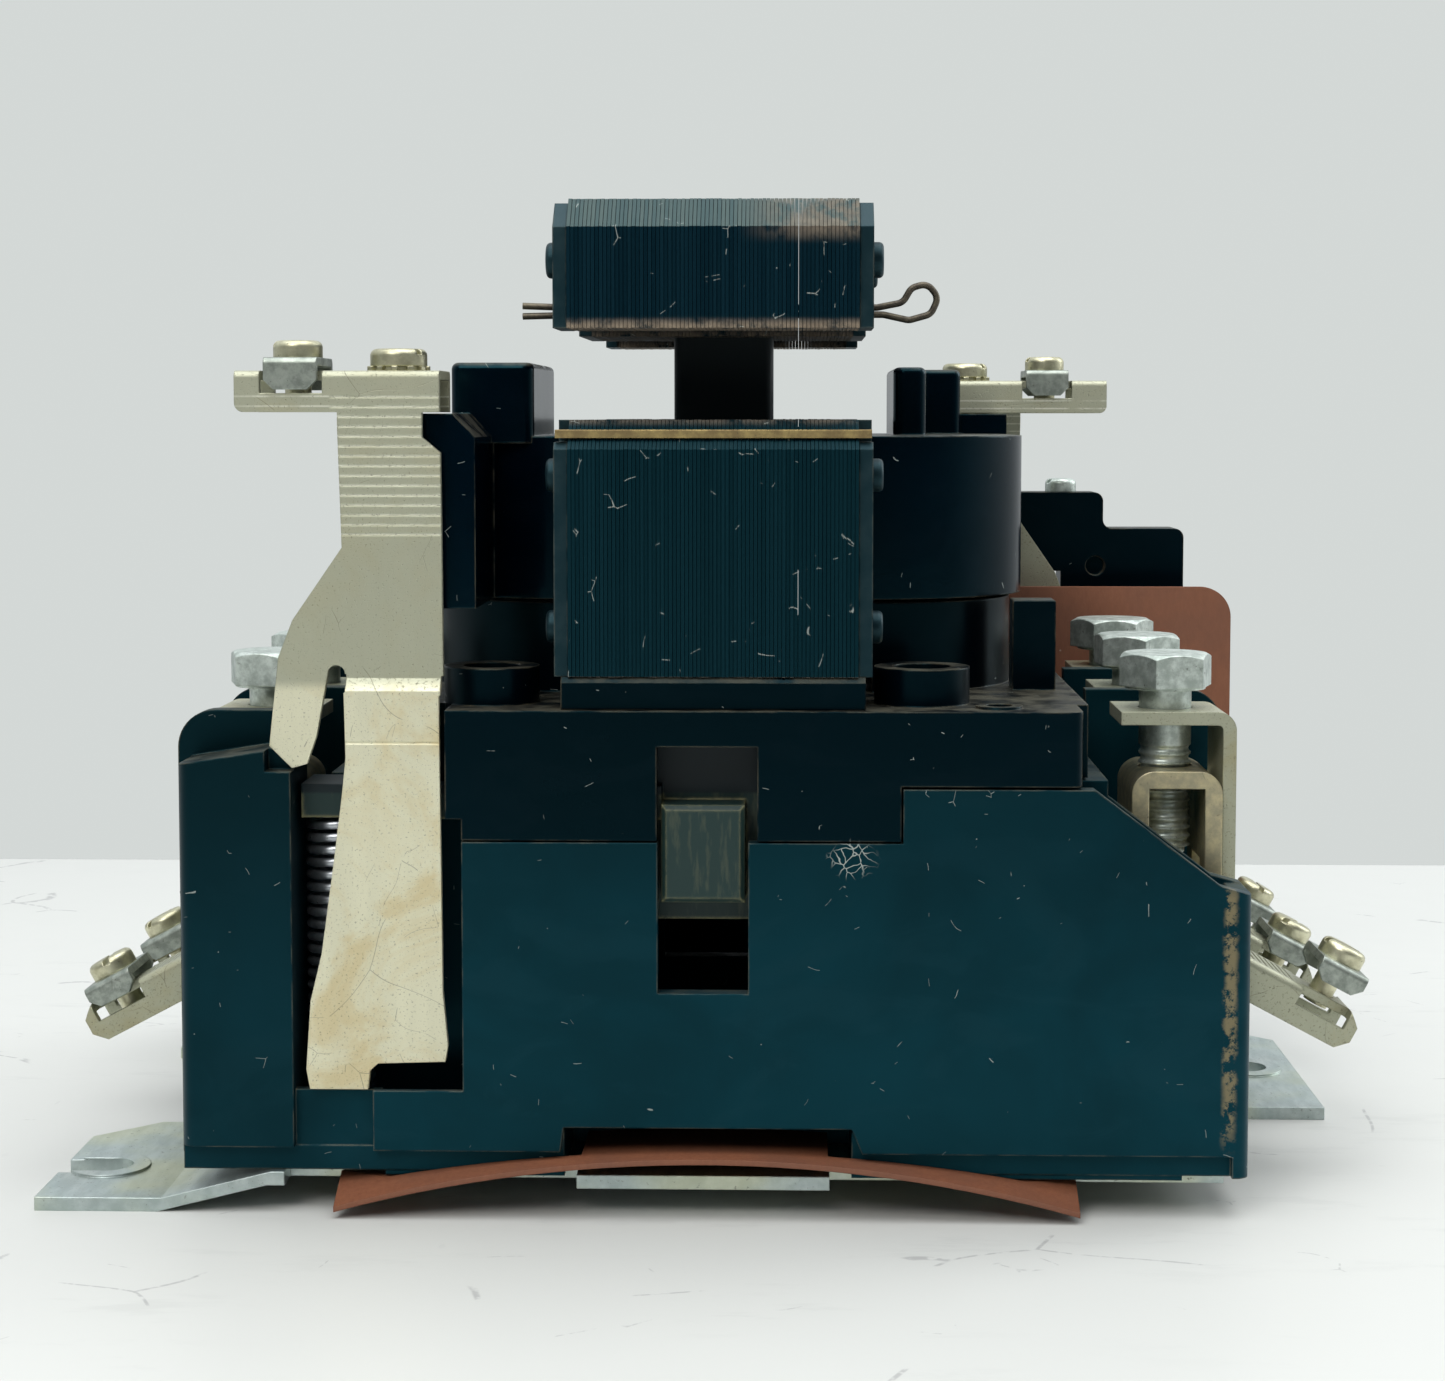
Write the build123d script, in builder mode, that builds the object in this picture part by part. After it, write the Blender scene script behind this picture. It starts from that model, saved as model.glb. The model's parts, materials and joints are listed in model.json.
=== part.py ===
"""Open three-pole magnetic contactor on a sheet-steel mounting plate.

X runs from the line terminals to the load terminals, Y across the three poles and Z out
of the panel. The origin is on the panel, under the middle of the contact carrier. Most of
the mechanism looks the same after half a turn about Z, so many pieces are modelled at one
end and copied by that half turn. All sizes are in millimetres.
"""
from build123d import *
from math import radians, tan
import os

os.makedirs("parts", exist_ok=True)

# ---- driving dimensions -------------------------------------------------------------
body_half_x = 76.9       # base moulding, from the middle to an end face
body_half_y = 63.0       # base moulding, from the middle to a side face
pole_pitch = 35.0        # distance between neighbouring poles
pole_count = 3
stroke = 12.5            # travel of the armature and the contact carrier
overtravel = 2.0         # how far a contact bridge can lift off its seat in the carrier
magnet_gap = 13.0        # air gap of the open magnet
wall = 3.0               # walls of the mouldings
sheet = 2.0              # mounting plate and power terminal strip
slide_gap = 0.5          # between the carrier and the mouldings that guide it
fit_gap = 0.3            # between pieces that are assembled without touching
base_top = 62.0
cover_top = 73.1
barrier_top = 72.0

# ---- mounting plate -----------------------------------------------------------------
plate_bottom = 4.0
plate_top = plate_bottom + sheet
plate_left = -63.0
plate_right = 74.0
plate_half_y = 58.0
ear_reach = 98.5
left_slot_x = -91.5
left_slot_y = 46.8
slot_width = 6.9
right_hole_x = 90.0
right_hole_y = 19.5
right_hole_r = 3.5
boss_height = 0.35
tongue_left = -19.6
tongue_right = 16.8

# ---- base, cover and contact system -------------------------------------------------
base_floor = 12.0
recess_left = -60.5      # spring recess in the side face
recess_right = -36.0
recess_back = -46.5
chamber_x = 54.4         # inside of the arc chambers
tab_left = -7.4
tab_right = 4.6
tab_bottom = 45.4
tab_top = 59.5
window_top = 68.0
stem_x = 16.0
stem_y = 14.0
crossbar_x = 17.0
crossbar_bottom = 42.0
strip_z = 38.0           # underside of the fixed contact strips
tip_height = 2.0
tip_x = 29.0
tip_size = 8.0
bridge_thickness = 2.5
bridge_y = 12.0

# ---- magnet -------------------------------------------------------------------------
stack_half_x = 22.8
side_plate = 2.0
core_half_y = 61.0
leg_y = 14.0
centre_leg_half = 14.0
core_bottom = 77.8
core_top = 114.5
yoke = 13.5
armature_top = 146.0
edge_bevel = 4.2
cotter_z = 132.2
cotter_wire = 1.1

# ---- coil ---------------------------------------------------------------------------
coil_half_x = 47.6
pillar_outer = 48.6
coil_half_y = 38.0
coil_bottom = 87.4
coil_top = 112.0
pillar_top = 115.4
bar_top = 121.5
bar_end = 68.2
bar_width = 12.5
strap_sheet = 1.3
strap_setback = 1.4      # the upper strap lies this far behind the lower leg
line_screw_x = 45.5      # the coil's terminal screws and clamps, measured from the middle
load_screw_x = 42.8
line_clamp_x = 60.1
load_clamp_x = 57.4
upper_face = -body_half_y + strap_setback
bar_mid = upper_face + bar_width / 2
bar_far = upper_face + bar_width

# ---- screws and clamps --------------------------------------------------------------
hex_x = 67.9
hex_flats = 12.7
hex_head = 5.0
hex_shank_r = 3.95
hex_pitch = 1.41
hex_head_z = 74.3
hex_tip_z = 49.0
collar_inner = 61.9
collar_outer = 75.4
collar_sheet = 2.6
collar_y = 18.0
collar_bottom = 40.4
collar_top = 62.2
terminal_top = 71.0
leg_outer = 77.6
control_slope = 28.0
control_x = 80.9         # a point on the underside of the sloped terminals
control_z = 26.5
small_screw_r = 1.9

poles = [(i - (pole_count - 1) / 2) * pole_pitch for i in range(pole_count)]
barriers = [-1.5 * pole_pitch + 1.5, -pole_pitch / 2, pole_pitch / 2, 1.5 * pole_pitch - 1.5]


def save(piece, label):
    """Name a finished piece and write it to its own STEP file."""
    piece.part.label = label
    export_step(piece.part, f"parts/{label}.step")


def half_turn(shape):
    """The copy of a shape on the other end of the contactor."""
    return shape.rotate(Axis.Z, 180)


def block(x0, x1, y0, y1, z0, z1, mode=Mode.ADD):
    """A box between two corners, added to or cut from the part being built."""
    with Locations(((x0 + x1) / 2, (y0 + y1) / 2, (z0 + z1) / 2)):
        Box(abs(x1 - x0), abs(y1 - y0), abs(z1 - z0), mode=mode)


def rod(x, y, z0, z1, radius, mode=Mode.ADD):
    """An upright cylinder between two heights."""
    with Locations((x, y, (z0 + z1) / 2)):
        Cylinder(radius, abs(z1 - z0), mode=mode)


def plate_xz(points, y0, y1, mode=Mode.ADD):
    """A flat plate with an outline in X and Z, from y0 to y1."""
    with BuildSketch(Plane.XZ.offset(-y0)) as outline:
        with BuildLine():
            Polyline(*points, close=True)
        make_face()
    extrude(outline.sketch, amount=-(y1 - y0), mode=mode)


def plate_yz(points, x0, x1, mode=Mode.ADD):
    """A flat plate with an outline in Y and Z, from x0 to x1."""
    with BuildSketch(Plane.YZ.offset(x0)) as outline:
        with BuildLine():
            Polyline(*points, close=True)
        make_face()
    extrude(outline.sketch, amount=x1 - x0, mode=mode)


# =====================================================================================
# Mounting plate and liner
# =====================================================================================
joggle = [(plate_left + 1, plate_bottom), (plate_left + 1, plate_top), (plate_left - 1, plate_top),
          (-80.0, sheet), (-ear_reach, sheet), (-ear_reach, 0), (-80.6, 0),
          (plate_left - 1.6, plate_bottom)]
right_joggle = [(plate_right - 1, plate_bottom), (plate_right - 1, plate_top),
                (plate_right, plate_top), (82.0, sheet), (ear_reach, sheet), (ear_reach, 0),
                (81.4, 0), (plate_right - 0.6, plate_bottom)]
boss_r = slot_width / 2 + 2.6
base_screw_places = [(x, y) for x in (-40.0, 40.0) for y in (-17.5, 17.5)]

with BuildPart() as mounting_plate:
    block(plate_left, plate_right, -plate_half_y, plate_half_y, plate_bottom, plate_top)
    block(tongue_left, tongue_right, -body_half_y - 0.4, -plate_half_y + 1, plate_bottom, plate_top)
    block(-tongue_right, -tongue_left, plate_half_y - 1, body_half_y + 0.4, plate_bottom, plate_top)
    for side in (-1, 1):
        plate_xz(joggle, side * body_half_y, side * 21.0)
    plate_xz(right_joggle, -7.0, 45.0)
    ear_corners = mounting_plate.edges().filter_by(Axis.Z).group_by(Axis.X)
    chamfer(ear_corners[0].sort_by(Axis.Y)[1:3], 9.0)
    load_ear_corners = mounting_plate.edges().filter_by(Axis.Z).group_by(Axis.X)[-1]
    chamfer(load_ear_corners.sort_by(Axis.Y)[-1:], 4.0)
    for side in (-1, 1):
        rod(left_slot_x, side * left_slot_y, sheet, sheet + boss_height, boss_r)
    rod(right_hole_x, right_hole_y, sheet, sheet + boss_height, right_hole_r + 2.6)
    for side in (-1, 1):
        slot_y = side * left_slot_y
        rod(left_slot_x, slot_y, -1, 4, slot_width / 2, Mode.SUBTRACT)
        block(-ear_reach - 1, left_slot_x, slot_y - slot_width / 2, slot_y + slot_width / 2,
              -1, 4, Mode.SUBTRACT)
    rod(right_hole_x, right_hole_y, -1, 4, right_hole_r, Mode.SUBTRACT)
    for x, y in base_screw_places:
        rod(x, y, 0, 10, 1.7, Mode.SUBTRACT)
save(mounting_plate, "mounting_plate")

liner_left = -54.4
liner_right = 52.5
liner_sheet = 0.8
liner_crown = 8.3        # underside of the liner over the plate's tongue
liner_tuck = 13.0        # how far its middle reaches under the base
liner_near = -body_half_y - 3
liner_fold = -body_half_y + 1.3
foot_left = -47.5        # a foot of the base that stands just outside the plate
foot_right = 67.5
foot_bottom = 5.3


def liner_section(y, end_z):
    """The arched section of the liner in one plane, with its ends at a given height."""
    with BuildSketch(Plane.XZ.offset(-y)) as section:
        with BuildLine():
            mid = (liner_left + liner_right) / 2
            low = ThreePointArc((liner_left, end_z), (mid, liner_crown), (liner_right, end_z))
            high = ThreePointArc((liner_left, end_z + liner_sheet), (mid, liner_crown + liner_sheet),
                                 (liner_right, end_z + liner_sheet))
            Line(low @ 0, high @ 0)
            Line(low @ 1, high @ 1)
        make_face()
    return section.sketch


with BuildPart() as fibre_liner:
    # the near flap droops in front of the plate's edge, most at its two ends
    loft([liner_section(liner_near, 1.0), liner_section(liner_fold, 2.9)], ruled=True)
    loft([liner_section(liner_fold, 2.9), liner_section(-plate_half_y - 0.35, 4.3)], ruled=True)
    block(foot_left - fit_gap, foot_right + fit_gap, liner_fold, -plate_half_y, foot_bottom - fit_gap, 12,
          Mode.SUBTRACT)
    # the middle lies over the tongue, inside the notch of the base
    extrude(liner_section(liner_fold, 2.9), amount=-liner_tuck)
    for x0, x1 in ((liner_left - 1, tongue_left + 0.6), (tongue_right - 0.2, liner_right + 1)):
        block(x0, x1, -plate_half_y - 0.35, liner_fold + liner_tuck + 1, -1, 12, Mode.SUBTRACT)
        block(x0, x1, liner_fold, liner_fold + liner_tuck + 1, foot_bottom - fit_gap, 12, Mode.SUBTRACT)
save(fibre_liner, "fibre_liner")


# =====================================================================================
# Base moulding
# =====================================================================================
side_wall = [(-48.9, 9.2), (-22.0, 9.2), (-21.5, 12.8), (20.0, 12.8), (21.5, 9.2),
             (body_half_x, 9.2), (body_half_x, 47.0), (72.5, 48.2), (chamber_x, base_top),
             (27.2, base_top), (27.2, 54.2), (recess_right - 0.3, 54.2),
             (recess_right - 0.3, 21.5), (-48.5, 18.2)]
ledge_low = 28.4         # the sloped ledges end here, under the control terminals
ledge_high = ledge_low + (body_half_x - chamber_x - wall - 2) * tan(radians(control_slope))
cover_boss_x = (-32.9, 30.3)
cover_boss_y = -50.0
seat_z = plate_top + 0.05
chamber_outer = chamber_x + wall
fin_reach = 79.0         # the barriers stand out past the end faces


def base_half():
    """One side half of the base: floor, side wall, recess, barriers and terminal ledges."""
    block(-body_half_x, body_half_x, -body_half_y + 1.4, 0, seat_z, base_floor)
    plate_xz(side_wall, -body_half_y, -body_half_y + wall)
    block(foot_left, foot_right, -body_half_y + 1.6, -plate_half_y - fit_gap, foot_bottom, seat_z + 1)
    block(body_half_x - 2.5, body_half_x, -body_half_y, barriers[0], seat_z, 47.0)
    # corner post beside the recess, with a sloping top
    post = [(-body_half_x, 9.6), (-body_half_x, 65.2), (recess_left, 67.8), (recess_left, 9.6)]
    plate_xz(post, -body_half_y, barriers[0])
    # end barrier and the two barriers between the poles
    block(-fin_reach, chamber_outer, barriers[0] - wall / 2, barriers[0] + wall / 2, seat_z, barrier_top)
    sloped_end = [(chamber_x, seat_z), (chamber_x, base_top), (72.5, 48.2), (body_half_x, 47.0),
                  (body_half_x, seat_z)]
    plate_xz(sloped_end, barriers[0] - wall / 2, barriers[0] + wall / 2)
    block(-chamber_outer, chamber_outer, barriers[1] - wall / 2, barriers[1] + wall / 2, seat_z, barrier_top)
    block(-fin_reach, fin_reach, barriers[1] - wall / 2, barriers[1] + wall / 2, seat_z, base_floor)
    for side in (-1, 1):
        x0, x1 = sorted((side * chamber_x, side * chamber_outer))
        block(x0, x1, barriers[0], 0, seat_z, base_top)
    # walls of the spring recess
    block(recess_left - 2, recess_right + wall, recess_back, recess_back + 2, seat_z, 57.0)
    block(recess_right, recess_right + wall, -body_half_y + 0.5, recess_back + 1, 9.2, 43.5)


with BuildPart() as base_moulding:
    base_half()
    # the notch over the liner and the open spring recess
    block(-21.5, 20.0, -body_half_y - 1, -body_half_y + 17, 0, 12.8, Mode.SUBTRACT)
    block(-21.5, 20.0, -body_half_y + wall, -body_half_y + 18, 12.8, 14.0)
    block(recess_left, recess_right, -body_half_y - 1, recess_back, 9.6, 80, Mode.SUBTRACT)
    block(-49.0, recess_right, -body_half_y, -body_half_y + 1.1, 9.2, 18.0)
    block(recess_left, -48.0, -body_half_y + 1.6, -body_half_y + 3.0, 9.2, 17.8)
    # clearance for the coil strap beside the post
    block(-64.2, recess_left + 1, -body_half_y - 1, -body_half_y + 3.2, 64.2, 70, Mode.SUBTRACT)
    # columns that the cover screws go into
    for x in cover_boss_x:
        rod(x, cover_boss_y, base_floor, base_top, 3.6)
    add(half_turn(base_moulding.part))
    # room for the cover between the barriers' ends
    block(-chamber_outer - 0.1, chamber_outer + 0.1, -body_half_y - 1, body_half_y + 1,
          base_top, 90, Mode.SUBTRACT)
    # slots in the barriers for the contact carrier
    for y in barriers:
        block(-crossbar_x / 2 - slide_gap, crossbar_x / 2 + slide_gap, y - wall, y + wall,
              crossbar_bottom - stroke - slide_gap, 80, Mode.SUBTRACT)
    # windows for the indicator tab
    for turn in (0, 1):
        x0, x1 = (tab_left - 0.5, tab_right + 0.5) if not turn else (-tab_right - 0.5, -tab_left + 0.5)
        y0, y1 = (-70, -body_half_y + wall + 1) if not turn else (body_half_y - wall - 1, 70)
        block(x0, x1, y0, y1, tab_bottom - stroke - slide_gap, 80, Mode.SUBTRACT)
    block(-70, -61.5, plate_half_y - 1, body_half_y, 5, plate_top + 0.05, Mode.SUBTRACT)
    for sign in (-1, 1):
        for x in cover_boss_x:
            rod(-sign * x, -sign * cover_boss_y, 54, 63, 2.2, Mode.SUBTRACT)
    # slots for the fixed contact strips
    for y in poles:
        for side in (-1, 1):
            block(side * (chamber_x - 1), side * (chamber_x + wall + 1), y - 8.3, y + 8.3,
                  strip_z - fit_gap, strip_z + sheet + fit_gap, Mode.SUBTRACT)
    for x, y in base_screw_places:
        rod(x, y, 0, 11, 1.6, Mode.SUBTRACT)
    for z in (46.0, 58.0):
        with Locations(Location((69.0, body_half_y, z), (90, 0, 0))):
            Cylinder(1.8, 8, mode=Mode.SUBTRACT)
    rim = base_moulding.edges().filter_by(Axis.Y).filter_by_position(Axis.Z, 71.9, 72.1)
    fillet(rim.filter_by(lambda e: abs(e.center().X) > 78), 5.5)
    corner = base_moulding.edges().filter_by(Axis.Z).filter_by(
        lambda e: abs(abs(e.center().X) - body_half_x) < 0.01
        and abs(abs(e.center().Y) - body_half_y) < 0.01)
    fillet(corner, 2.0)
save(base_moulding, "base_moulding")

# The fins between the poles and the ledges under the control terminals belong to the same
# moulding. They are nodes of their own so that each is a simple shape.
ledge_outline = [(chamber_outer, base_floor), (chamber_outer, ledge_high),
                 (chamber_outer + 2, ledge_high), (body_half_x, ledge_low), (body_half_x, base_floor)]
with BuildPart() as load_barriers:
    for y in barriers[1:3]:
        block(chamber_outer, fin_reach, y - wall / 2, y + wall / 2, base_floor, barrier_top)
    block(chamber_outer - 1, chamber_outer + 0.1, -body_half_y, body_half_y, base_top, 90, Mode.SUBTRACT)
    fin_rim = load_barriers.edges().filter_by(Axis.Y).filter_by(
        lambda e: e.center().X > fin_reach - 1 and e.center().Z > barrier_top - 1)
    fillet(fin_rim, 5.5)
save(load_barriers, "load_barriers")

with BuildPart() as line_barriers:
    add(half_turn(load_barriers.part))
save(line_barriers, "line_barriers")

with BuildPart() as load_ledges:
    for y0, y1 in zip(barriers[:-1], barriers[1:]):
        plate_xz(ledge_outline, y0 + wall / 2, y1 - wall / 2)
    # room for the spring recess and its back wall
    block(chamber_outer, -recess_left, -recess_back, barriers[-1], 0, base_top, Mode.SUBTRACT)
    block(chamber_outer, 2 - recess_left, -recess_back - 2, -recess_back, 0, base_top, Mode.SUBTRACT)
save(load_ledges, "load_ledges")

with BuildPart() as line_ledges:
    add(half_turn(load_ledges.part))
save(line_ledges, "line_ledges")


# =====================================================================================
# Cover moulding, which carries the magnet
# =====================================================================================
cover_left = -38.3
cover_right = 52.7
cover_skin = 2.8
cover_boss_r = 7.0
cover_boss_top = 78.5
collar_wall_top = 86.8
cover_wall = [(cover_left, cover_top), (cover_left, 57.5), (recess_right, 57.5),
              (recess_right, 54.5), (26.9, 54.5), (26.9, 62.4), (cover_right, 62.4),
              (cover_right, cover_top)]

with BuildPart() as cover_moulding:
    # everything on the -Y side, then its half-turn copy
    block(-chamber_x, chamber_x, barriers[0] - wall / 2, 0, cover_top - cover_skin, cover_top)
    block(cover_left, cover_right, -body_half_y, barriers[0], cover_top - cover_skin, cover_top)
    plate_xz(cover_wall, -body_half_y, -body_half_y + wall)
    block(cover_right - wall, cover_right, -body_half_y, barriers[0], 62.4, cover_top)
    for side in (-1, 1):
        block(side * (chamber_x - wall), side * chamber_x, barriers[0], 0, 62.4, cover_top)
    for y in barriers[:2]:
        block(-chamber_x, chamber_x, y - wall / 2, y + wall / 2, 62.4, cover_top)
    front_corners = cover_moulding.edges().filter_by(Axis.Z).filter_by(
        lambda e: abs(e.center().X - cover_right) < 0.01 and abs(e.center().Y + body_half_y) < 0.01)
    fillet(front_corners, 1.5)
    for x in cover_boss_x:
        rod(x, cover_boss_y, 62.4, cover_boss_top, cover_boss_r)
    rod(41.1, -57.0, cover_top, cover_top + 0.4, 3.4)
    # curved wall that the coil stands on
    with BuildSketch(Plane.XY.offset(cover_top)):
        RectangleRounded(2 * 45.8, 2 * (coil_half_y - 2), 23.0)
        RectangleRounded(2 * 42.8, 2 * (coil_half_y - 5), 20.0, mode=Mode.SUBTRACT)
        with Locations((0, 25)):
            Rectangle(120, 50, mode=Mode.SUBTRACT)
    extrude(amount=collar_wall_top - cover_top)
    block(45.0, 51.6, -31.5, -25.0, cover_top, 87.2 - 0.3)
    add(half_turn(cover_moulding.part))
    # room for the core, the stem, the carrier and the screws
    block(-stack_half_x - 0.5, stack_half_x + 0.5, -70, 70, cover_top, 90, Mode.SUBTRACT)
    block(-stem_x / 2 - slide_gap, stem_x / 2 + slide_gap, -stem_y / 2 - slide_gap,
          stem_y / 2 + slide_gap, 60, 80, Mode.SUBTRACT)
    block(-crossbar_x / 2 - slide_gap, crossbar_x / 2 + slide_gap, -58.5, 58.5,
          50, cover_top - cover_skin, Mode.SUBTRACT)
    for turn in (0, 1):
        x0, x1 = (tab_left - 0.6, tab_right + 1.8) if not turn else (-tab_right - 1.8, -tab_left + 0.6)
        y0, y1 = (-70, -body_half_y + wall + 1) if not turn else (body_half_y - wall - 1, 70)
        block(x0, x1, y0, y1, 50, window_top, Mode.SUBTRACT)
    for sign in (-1, 1):
        for x in cover_boss_x:
            rod(-sign * x, -sign * cover_boss_y, 60, 90, 2.3, Mode.SUBTRACT)
            rod(-sign * x, -sign * cover_boss_y, cover_boss_top - 4.0, 90, 4.3, Mode.SUBTRACT)
        rod(-sign * 41.1, sign * 57.0, 60, 90, 2.0, Mode.SUBTRACT)
    fillet(cover_moulding.faces().filter_by(Axis.Z).sort_by(Axis.Z)[-1].edges(), 0.3)
save(cover_moulding, "cover_moulding")

with BuildPart() as cover_screws:
    for sign in (-1, 1):
        for x in cover_boss_x:
            rod(-sign * x, -sign * cover_boss_y, 56.0, cover_boss_top - 3.0, 2.0)
            rod(-sign * x, -sign * cover_boss_y, cover_boss_top - 4.0, cover_boss_top - 1.4, 3.9)
    for sign in (-1, 1):
        for x in cover_boss_x:
            with Locations((-sign * x, -sign * cover_boss_y, cover_boss_top - 1.4)):
                Box(7.0, 1.0, 1.6, mode=Mode.SUBTRACT)
save(cover_screws, "cover_screws")

with BuildPart() as base_screws:
    for x, y in base_screw_places:
        rod(x, y, plate_bottom, 10.5, 1.5)
        rod(x, y, 2.4, plate_bottom, 3.4)
        with Locations((x, y, 2.4)):
            Box(6.0, 0.9, 1.6, mode=Mode.SUBTRACT)
save(base_screws, "base_screws")


# =====================================================================================
# Fixed magnet core
# =====================================================================================
def magnet_outline(flip=False, grow=0.0):
    """The E outline of the core in Y and Z, or of the armature when flipped."""
    b = edge_bevel
    lo, hi = (core_bottom, core_top)
    legs_lo = core_bottom + yoke
    half = core_half_y - grow
    if flip:
        lo, hi = core_top + magnet_gap, armature_top
        legs_hi = armature_top - yoke
        return [(-half, lo), (-half + leg_y, lo), (-half + leg_y, legs_hi),
                (-centre_leg_half, legs_hi), (-centre_leg_half, lo + 0.2),
                (centre_leg_half, lo + 0.2), (centre_leg_half, legs_hi),
                (half - leg_y, legs_hi), (half - leg_y, lo), (half, lo),
                (half, hi - b), (half - b, hi - grow), (-half + b, hi - grow), (-half, hi - b)]
    return [(-half, lo), (half, lo), (half, hi - b), (half - b, hi), (half - leg_y, hi),
            (half - leg_y, legs_lo), (centre_leg_half, legs_lo), (centre_leg_half, hi - 0.2),
            (-centre_leg_half, hi - 0.2), (-centre_leg_half, legs_lo), (-half + leg_y, legs_lo),
            (-half + leg_y, hi), (-half + b, hi), (-half, hi - b)]


inner_half = stack_half_x - side_plate
shading_slot_y = core_half_y - edge_bevel - 4.4
shading_outer = core_half_y - 1.0
shading_leg = 1.4
shading_high = 1.2
shading_z = core_top - 2.6
with BuildPart() as magnet_core:
    plate_yz(magnet_outline(), -inner_half, inner_half)
    block(-stem_x / 2 - 0.6, stem_x / 2 + 0.6, -stem_y / 2 - 0.6, stem_y / 2 + 0.6, 70, 120, Mode.SUBTRACT)
    for side in (-1, 1):
        block(-30, 30, side * shading_slot_y - 0.9, side * shading_slot_y + 0.9,
              core_top - 3.0, core_top + 1, Mode.SUBTRACT)
        block(-30, 30, side * (shading_outer - shading_leg - 0.05), side * (core_half_y + 1),
              shading_z - 0.05, shading_z + shading_high + 0.05, Mode.SUBTRACT)
save(magnet_core, "magnet_core")

with BuildPart() as core_side_plates:
    for side in (-1, 1):
        plate_yz(magnet_outline(grow=0.6), side * inner_half, side * stack_half_x)
    for side in (-1, 1):
        block(-30, 30, side * (shading_slot_y - 1.4), side * (core_half_y + 1),
              core_top - 3.2, core_top + 1, Mode.SUBTRACT)
save(core_side_plates, "core_side_plates")

rivet_places = [(-54.0, 106.5), (54.0, 106.5), (-54.0, 84.5), (54.0, 84.5), (-12.0, 84.5), (12.0, 84.5)]
with BuildPart() as core_rivets:
    for y, z in rivet_places:
        for side in (-1, 1):
            with Locations(Plane(origin=(side * (stack_half_x + 0.8), y, z), z_dir=(side, 0, 0))):
                Cylinder(2.4, 1.6)
    dome = core_rivets.edges().filter_by(GeomType.CIRCLE).filter_by(
        lambda e: abs(abs(e.center().X) - stack_half_x - 1.6) < 0.01)
    fillet(dome, 0.7)
save(core_rivets, "core_rivets")

with BuildPart() as shading_coils:
    # a closed ring round half of each outer pole, with one leg in the bevel and one in the slot
    ring_top = shading_z + shading_high
    block(-stack_half_x + 0.2, stack_half_x - 0.2, -shading_outer, -shading_slot_y + 0.7, shading_z, ring_top)
    block(-inner_half - 0.1, inner_half + 0.1, -shading_outer + shading_leg, -shading_slot_y - 0.8,
          shading_z, ring_top, Mode.SUBTRACT)
    add(half_turn(shading_coils.part))
save(shading_coils, "shading_coils")

with BuildPart() as core_seats:
    for side in (-1, 1):
        y0, y1 = sorted((side * (core_half_y + 0.4), side * 46.0))
        block(-stack_half_x + 1.0, stack_half_x - 1.0, y0, y1, cover_top, core_bottom)
    lips = core_seats.edges().filter_by(Axis.X).group_by(Axis.Z)[-1]
    chamfer(lips, 0.8)
save(core_seats, "core_seats")

with BuildPart() as core_cushions:
    for side in (-1, 1):
        y0, y1 = sorted((side * 36.0, side * 20.0))
        block(-20.0, 20.0, y0, y1, cover_top, core_bottom)
save(core_cushions, "core_cushions")


# =====================================================================================
# Coil with its terminals
# =====================================================================================
with BuildPart() as coil:
    with BuildSketch(Plane.XY.offset(coil_bottom)):
        RectangleRounded(2 * coil_half_x, 2 * coil_half_y, 25.0)
        Rectangle(2 * stack_half_x + 1.0, 2 * centre_leg_half + 1.2, mode=Mode.SUBTRACT)
    extrude(amount=coil_top - coil_bottom)
    # terminal pillar, then the rib that screens the terminal from the armature
    pillar = [(-pillar_outer, coil_bottom), (-pillar_outer, pillar_top), (-37.4, pillar_top),
              (-34.2, coil_top), (-34.2, coil_bottom)]
    plate_xz(pillar, -body_half_y + 4.5, -30.0)
    block(-40.3, -27.8, -coil_half_y, -coil_half_y + 12, coil_top - 1, 123.1)
    block(-33.2, -27.8, -coil_half_y + 1, -2.0, coil_top - 1, 123.1)
    ribs = coil.edges().filter_by(Axis.Z).filter_by(lambda e: e.center().Z > 116)
    fillet(ribs, 1.6)
    fillet(coil.faces().filter_by(Axis.Z).group_by(Axis.Z)[-1].edges(), 1.0)
    add(half_turn(coil.part))
    # room for the yoke, the winding and the terminal screws
    block(-stack_half_x - 0.5, stack_half_x + 0.5, -50, 50, 80, core_bottom + yoke + 0.6, Mode.SUBTRACT)
    with BuildSketch(Plane.XY.offset(core_bottom + yoke + 3)):
        RectangleRounded(2 * 44.6, 2 * 34.2, 20.0)
        Rectangle(2 * 26.4, 2 * 17.4, mode=Mode.SUBTRACT)
    extrude(amount=15.0, mode=Mode.SUBTRACT)
    rod(-line_screw_x, bar_mid, 106.0, 120.0, small_screw_r + 0.2, Mode.SUBTRACT)
    rod(load_screw_x, -bar_mid, 106.0, 120.0, small_screw_r + 0.2, Mode.SUBTRACT)
save(coil, "coil")

with BuildPart() as coil_winding:
    with BuildSketch(Plane.XY.offset(core_bottom + yoke + 3.2)):
        RectangleRounded(2 * 44.3, 2 * 33.9, 19.7)
        Rectangle(2 * 26.7, 2 * 17.7, mode=Mode.SUBTRACT)
    extrude(amount=14.6)
save(coil_winding, "coil_winding")

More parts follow.
